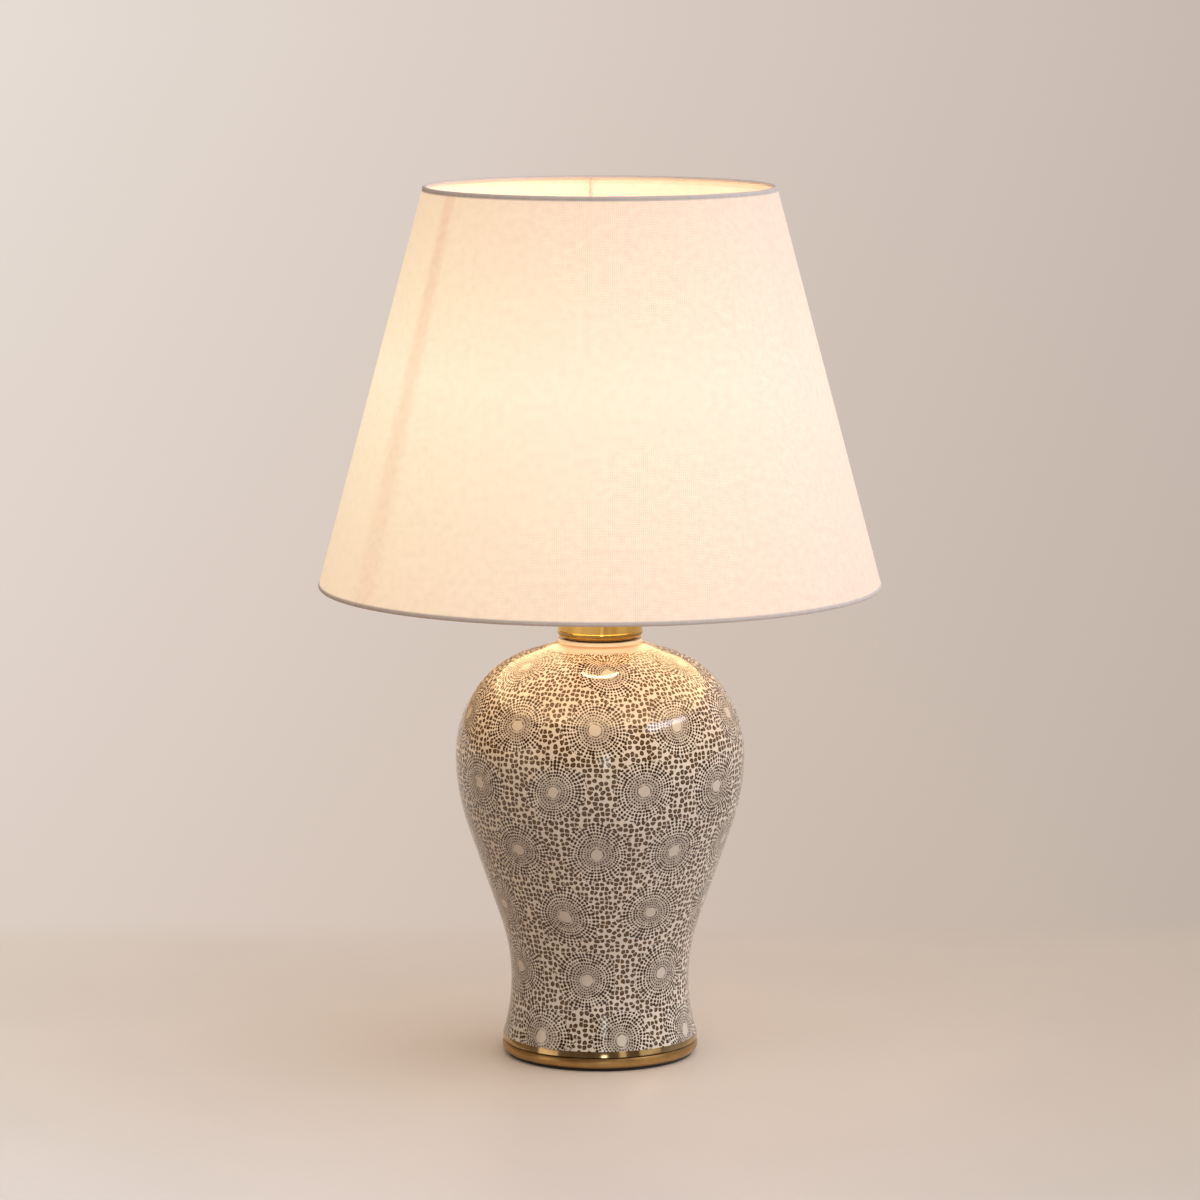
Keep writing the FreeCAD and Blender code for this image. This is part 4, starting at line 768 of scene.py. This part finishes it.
SLOT_FINISHES = {
    "felt": felt,
    "foot_brass": foot_brass,
    "bush_plastic": nylon,
    "gasket_rubber": rubber,
    "vase_glaze": glaze,
    "zinc_steel": zinc_steel,
    "cap_brass": cap_brass,
    "holder_plastic": phenolic,
    "insert_ceramic": steatite,
    "contact_brass": contact_brass,
    "shade_cloth": cloth,
    "shade_sheet": sheet,
    "frame_paint": enamel,
    "tip_metal": tip_metal,
    "tip_insulator": black_glass,
    "screw_shell": shell_metal,
    "bulb_plastic": housing_white,
    "opal_dome": opal,
    "board_white": board_white,
}


def vase():
    """The thrown vase: its outside from the foot rim up to the neck, and its inside down again."""
    lean = radians(TAPER_LEAN)
    waist_start = degrees(asin((WAIST_LEVEL - BAND_TOP) / WAIST_ARC))
    crown_r = SHOULDER_CENTRE + (SHOULDER_ARC - CROWN_ARC) * cos(radians(SHOULDER_TURN))
    crown_z = WIDEST_LEVEL + (SHOULDER_ARC - CROWN_ARC) * sin(radians(SHOULDER_TURN))
    slope = radians(CROWN_TURN)
    crown_end = (crown_r + CROWN_ARC * cos(slope), crown_z + CROWN_ARC * sin(slope))
    fall = cos(slope) / sin(slope)
    root_level = crown_end[1] + (crown_end[0] - NECK_RADIUS) * fall
    tangent = NECK_FILLET * (1 - cos(slope)) / sin(slope)
    inner_waist = WAIST_ARC + VASE_WALL
    inner_crown = CROWN_ARC - VASE_WALL
    inner_end = (crown_r + inner_crown * cos(slope), crown_z + inner_crown * sin(slope))
    floor_turn = degrees(asin((WAIST_LEVEL - FLOOR_TOP) / inner_waist))
    start = (RECESS_RADIUS, VASE_BOTTOM)
    bm = walk(start, [
        (BASE_RADIUS, VASE_BOTTOM),
        (BASE_RADIUS, BAND_TOP),
        (WAIST_CENTRE, WAIST_LEVEL, -(TAPER_LEAN + waist_start)),
        (BELLY_CENTRE + BELLY_ARC * cos(lean), WIDEST_LEVEL - BELLY_ARC * sin(lean)),
        (BELLY_CENTRE, WIDEST_LEVEL, TAPER_LEAN),
        (SHOULDER_CENTRE, WIDEST_LEVEL, SHOULDER_TURN),
        (crown_r, crown_z, CROWN_TURN - SHOULDER_TURN),
        (NECK_RADIUS + tangent * sin(slope), root_level - tangent * cos(slope)),
        (NECK_RADIUS + NECK_FILLET, root_level + tangent, -CROWN_TURN),
        (NECK_RADIUS, NECK_TOP - NECK_LIP),
        (NECK_RADIUS - NECK_LIP, NECK_TOP - NECK_LIP, 90),
        (NECK_BORE, NECK_TOP),
        (NECK_BORE, inner_end[1] + (inner_end[0] - NECK_BORE) * fall),
        inner_end,
        (crown_r, crown_z, SHOULDER_TURN - CROWN_TURN),
        (SHOULDER_CENTRE, WIDEST_LEVEL, -SHOULDER_TURN),
        (BELLY_CENTRE, WIDEST_LEVEL, -TAPER_LEAN),
        (WAIST_CENTRE - inner_waist * cos(lean), WAIST_LEVEL + inner_waist * sin(lean)),
        (WAIST_CENTRE, WAIST_LEVEL, TAPER_LEAN + floor_turn),
        (ROD_HOLE, FLOOR_TOP),
        (ROD_HOLE, FLOOR_BOTTOM),
        (RECESS_RADIUS, FLOOR_BOTTOM),
        start,
    ])
    turned(bm)
    for face in bm.faces:
        face.material_index = int(face.calc_center_median().z < BAND_TOP * MM)
    piece("vase", bm, "ceramic_body", [glaze, lustre])


def beside(ring, down, out):
    """A point some way down the cone from a ring's centre, and out from it square to it."""
    run, rise = BOTTOM_RING[0] - TOP_RING[0], TOP_RING[1] - BOTTOM_RING[1]
    slant = hypot(run, rise)
    return (
        ring[0] + (down * run + out * rise) / slant,
        ring[1] + (out * run - down * rise) / slant,
    )


def bearing(point, centre):
    """Direction from a centre to a point, in degrees, counter-clockwise from +X."""
    return degrees(atan2(point[1] - centre[1], point[0] - centre[0]))


def shade_cloth_piece():
    """The cloth: its outside, its two rolled hems and its inside, with a flat map of the cone."""
    inner = HEM_RADIUS - CLOTH
    inside = CLOTH_OUTSIDE - CLOTH
    outer_reach = sqrt(HEM_RADIUS ** 2 - CLOTH_OUTSIDE ** 2)
    inner_reach = sqrt(inner ** 2 - inside ** 2)
    tip = radians(HEM_TIP)
    top_start = beside(TOP_RING, outer_reach, CLOTH_OUTSIDE)
    top_inner_end = beside(TOP_RING, inner_reach, inside)
    bottom_inner_start = beside(BOTTOM_RING, -inner_reach, inside)
    bottom_start = beside(BOTTOM_RING, -outer_reach, CLOTH_OUTSIDE)
    bm = walk(top_start, [
        (*TOP_RING, 180 + HEM_TIP - bearing(top_start, TOP_RING)),
        (TOP_RING[0] - inner * cos(tip), TOP_RING[1] - inner * sin(tip)),
        (*TOP_RING, bearing(top_inner_end, TOP_RING) - 180 - HEM_TIP),
        bottom_inner_start,
        (*BOTTOM_RING, 180 - HEM_TIP - bearing(bottom_inner_start, BOTTOM_RING) - 360),
        (BOTTOM_RING[0] - HEM_RADIUS * cos(tip), BOTTOM_RING[1] + HEM_RADIUS * sin(tip)),
        (*BOTTOM_RING, bearing(bottom_start, BOTTOM_RING) + 180 + HEM_TIP),
        top_start,
    ])
    turned(bm)
    run, rise = BOTTOM_RING[0] - TOP_RING[0], TOP_RING[1] - BOTTOM_RING[1]
    sweep = run / hypot(run, rise)
    cone = bm.loops.layers.uv.new("cloth")
    for face in bm.faces:
        middle = face.calc_center_median().xy
        for loop in face.loops:
            spot = loop.vert.co
            turn = middle.angle_signed(Vector((0, -1))) + spot.xy.angle_signed(middle)
            reach = spot.xy.length / sweep
            loop[cone].uv = (reach * sin(turn * sweep), -reach * cos(turn * sweep))
    made = piece("shade_cloth", bm, "shade_fabric", [cloth], crease=CLOTH_CREASE)


def shade_sheet_piece():
    """The stiff sheet behind the cloth: a plain cone from hem to hem."""
    corners = [
        beside(TOP_RING, LINER_INSET, LINER_OUTSIDE - LINER),
        beside(BOTTOM_RING, -LINER_INSET, LINER_OUTSIDE - LINER),
        beside(BOTTOM_RING, -LINER_INSET, LINER_OUTSIDE),
        beside(TOP_RING, LINER_INSET, LINER_OUTSIDE),
    ]
    bm = turned(walk(corners[0], [*corners[1:], corners[0]]))
    piece("shade_sheet", bm, "shade_liner", [sheet])


def finish_of(node):
    """The finish that the record's material slot of a node calls for."""
    return SLOT_FINISHES[node_slots[node]]


def smooth_copy(node):
    """The CAD node's own shape with its loose triangles joined, so that its curves look smooth."""
    bm = bmesh.new()
    bm.from_mesh(frame["nodes"][node].data)
    bmesh.ops.remove_doubles(bm, verts=bm.verts, dist=MM / 1000)
    piece(f"{node}_finished", bm, node, [finish_of(node)], crease=CAD_CREASE)


vase()
shade_cloth_piece()
shade_sheet_piece()

# Nodes that show a joined copy of their own shape; the rest show as they are
SMOOTHED = (
    "foot", "cord_bush", "vase_cap", "top_nut", "holder_cap", "holder_skirt", "lower_shade_ring",
    "upper_shade_ring", "fitter_ring", "shade_top_ring", "shade_bottom_ring", "shade_arm_left",
    "shade_arm_right", "shade_arm_back", "bulb_shell", "bulb_housing", "bulb_dome", "felt_pad",
    "foot_gasket", "neck_gasket",
)
for node in SMOOTHED:
    smooth_copy(node)
for node, solid in frame["nodes"].items():
    for slot in solid.material_slots:
        slot.material = finish_of(node)


# Hardboard painted a pale warm grey: matt, with a faint grain. Behind the lamp it takes the wall's
# own tone as a glow that the camera and gloss see, so that the floor runs up into a plain backdrop.
# Both tones carry painted light: lighter on the left and near the camera, darker at the wall's
# foot.
def stage_finish():
    made = bpy.data.materials.new("board painted pale")
    made.use_nodes = True
    tree = made.node_tree
    place = add(tree, "TexCoord", out="Object")
    axes = add(tree, "SeparateXYZ", [place]).node.outputs
    away = add(tree, "Math", [axes[1], CAMERA_AWAY], operation="ADD")
    away = add(tree, "Math", [away, LEAST_AWAY], operation="MAXIMUM")
    side = add(tree, "Math", [axes[0], away], operation="DIVIDE")
    side = add(tree, "MapRange", [side, *TONE_SIDES])
    # Painted light: the tones are lighter on the left, and the wall is darker at its foot
    floor_tone, high_wall, low_wall = (
        add(tree, "ValToRGB", [side], stops=tones)
        for tones in (FLOOR_TONES, HIGH_WALL_TONES, LOW_WALL_TONES)
    )
    slope = add(tree, "Math", [CAMERA_HEIGHT, away], operation="DIVIDE")
    lower = add(tree, "MapRange", [slope, *WALL_SLOPES])
    wall = add(tree, "Mix", {0: lower, 6: high_wall, 7: low_wall}, out=2, data_type="RGBA")
    behind = add(tree, "MapRange", [axes[1], *WALL_FOOT], interpolation_type="SMOOTHSTEP")
    sockets = {"Vector": place, "Scale": scale_of(FLOOR_GRAIN), "Detail": 3.0}
    grain = add(tree, "TexNoise", sockets)
    sockets = {"Vector": place, "Scale": scale_of(FLOOR_CLOUD), "Detail": 2.0}
    cloud = add(tree, "TexNoise", sockets)
    tint = add(tree, "MapRange", [cloud, *NOISE_SPAN, *FLOOR_CLOUD_SHARES])
    floor_tone = add(tree, "VectorMath", {0: floor_tone, "Scale": tint}, operation="SCALE")
    # Painted light: the floor is lighter near the camera
    near = add(tree, "MapRange", [slope, *FLOOR_SLOPES])
    sockets = {0: near, 6: FLOOR_SHARES[0], 7: FLOOR_SHARES[1]}
    near = add(tree, "Mix", sockets, out=2, data_type="RGBA")
    floor_tone = add(tree, "VectorMath", [floor_tone, near], operation="MULTIPLY")
    rays = add(tree, "LightPath").node.outputs
    browner = add(tree, "MapRange", [axes[0], *BOUNCE_SIDES], interpolation_type="SMOOTHSTEP")
    browner = add(tree, "Math", [browner, rays["Is Diffuse Ray"]], operation="MULTIPLY")
    sockets = {0: browner, 6: (1.0, 1.0, 1.0, 1.0), 7: BOUNCE_ON_LEFT}
    browner = add(tree, "Mix", sockets, out=2, data_type="RGBA")
    floor_tone = add(tree, "VectorMath", [floor_tone, browner], operation="MULTIPLY")
    bumps = add(tree, "Bump", {"Height": grain, "Strength": 0.1, "Distance": 0.1 * MM})
    board = tree.nodes["Principled BSDF"]
    connect(tree, board, {"Base Color": floor_tone, "Roughness": 0.38, "Normal": bumps})
    glow = add(tree, "Emission", {"Color": wall, "Strength": 1.0})
    dimmer = add(tree, "Math", [rays["Is Glossy Ray"], WALL_IN_GLOSS], operation="MULTIPLY")
    seen = add(tree, "Math", [rays["Is Camera Ray"], dimmer], operation="MAXIMUM")
    seen = add(tree, "Math", [seen, rays["Is Transmission Ray"]], operation="MAXIMUM")
    shown = add(tree, "Math", [seen, behind], operation="MULTIPLY")
    both = add(tree, "MixShader", [shown, board.outputs[0], glow])
    connect(tree, tree.nodes["Material Output"], {"Surface": both})
    return made


def floor_board():
    """The floor that the lamp stands on, which also takes the wall's place behind it."""
    bm = bmesh.new()
    bmesh.ops.create_grid(bm, x_segments=1, y_segments=1, size=FLOOR_HALF)
    mesh = bpy.data.meshes.new("floor")
    bm.to_mesh(mesh)
    bm.free()
    mesh.materials.append(stage_finish())
    floor = bpy.data.objects.new("floor", mesh)
    bpy.context.scene.collection.objects.link(floor)


def strip_light():
    """A long light up on the right that faces the vase, and shows only where gloss mirrors it."""
    light = bpy.data.lights.new("strip", "AREA")
    light.shape = "RECTANGLE"
    light.size, light.size_y = STRIP_SIZE
    light.energy = STRIP_POWER
    light.color = linear(STRIP_COLOUR)[:3]
    turn, rise = map(radians, STRIP_DIRECTION)
    towards = Vector((cos(rise) * sin(turn), -cos(rise) * cos(turn), sin(rise)))
    made = bpy.data.objects.new("strip", light)
    made.location = Vector(VASE_MIDDLE) + STRIP_AWAY * towards
    made.rotation_euler = towards.to_track_quat("Z", "Y").to_euler()
    made.visible_diffuse = False
    bpy.context.scene.collection.objects.link(made)


def studio(tree):
    """Soft light from all round, least and brownest from the left.

    Gloss mirrors a room that is dim in front of the lamp, with a few bright panels.
    """
    towards = add(tree, "TexCoord", out="Generated")
    axes = add(tree, "SeparateXYZ", [towards]).node.outputs
    lighting = (0.0, 0.0, 0.0)
    for direction, spread, colour in SOFT_LIGHT:
        facing = add(tree, "VectorMath", [towards, direction], out="Value", operation="DOT_PRODUCT")
        facing = add(tree, "MapRange", [facing, *spread], interpolation_type="SMOOTHSTEP")
        lighting = add(tree, "VectorMath", [facing, colour, lighting], operation="MULTIPLY_ADD")
    azimuth = azimuth_of(tree, towards)
    rise = add(tree, "Math", [axes[2]], operation="ARCSINE")
    aside = add(tree, "Math", [azimuth], operation="ABSOLUTE")
    aside = add(tree, "MapRange", [aside, *ROOM_CORNER], interpolation_type="SMOOTHSTEP")
    side = add(tree, "MapRange", [axes[0], *ROOM_MIDDLE], interpolation_type="SMOOTHSTEP")
    sockets = {0: side, 6: MIRRORED_SIDES[0], 7: MIRRORED_SIDES[1]}
    side = add(tree, "Mix", sockets, out=2, data_type="RGBA")
    mirrored = add(tree, "Mix", {0: aside, 6: MIRRORED_FRONT, 7: side}, out=2, data_type="RGBA")
    blur, rise_blur = PANEL_BLUR
    for turn, half_width, low, high, colour in MIRRORED_PANELS:
        aside = add(tree, "Math", [azimuth, radians(turn)], operation="SUBTRACT")
        aside = add(tree, "Math", [aside], operation="ABSOLUTE")
        sockets = [aside, radians(half_width + blur), radians(half_width - blur)]
        inside = add(tree, "MapRange", sockets, interpolation_type="SMOOTHSTEP")
        above = add(tree, "MapRange", [rise, radians(low - rise_blur), radians(low + rise_blur)])
        below = add(tree, "MapRange", [rise, radians(high + rise_blur), radians(high - rise_blur)])
        inside = add(tree, "Math", [inside, above], operation="MULTIPLY")
        inside = add(tree, "Math", [inside, below], operation="MULTIPLY")
        mirrored = add(tree, "Mix", {0: inside, 6: mirrored, 7: colour}, out=2, data_type="RGBA")
    glossy = add(tree, "LightPath", out="Is Glossy Ray")
    shown = add(tree, "Mix", {0: glossy, 6: lighting, 7: mirrored}, out=2, data_type="RGBA")
    connect(tree, tree.nodes["Background"], {"Color": shown, "Strength": 1.0})


camera = bpy.data.objects.new("camera", bpy.data.cameras.new("camera"))
camera.location = (0, -CAMERA_AWAY, CAMERA_HEIGHT)
camera.rotation_euler = (radians(CAMERA_TILT), 0, 0)
camera.data.lens = CAMERA_LENS
camera.data.sensor_width = CAMERA_FILM
camera.data.clip_end = CAMERA_REACH
bpy.context.scene.collection.objects.link(camera)
bpy.context.scene.camera = camera

floor_board()
strip_light()
world = bpy.data.worlds.new("studio")
world.use_nodes = True
studio(world.node_tree)
bpy.context.scene.world = world
bpy.context.scene.view_settings.view_transform = "Standard"
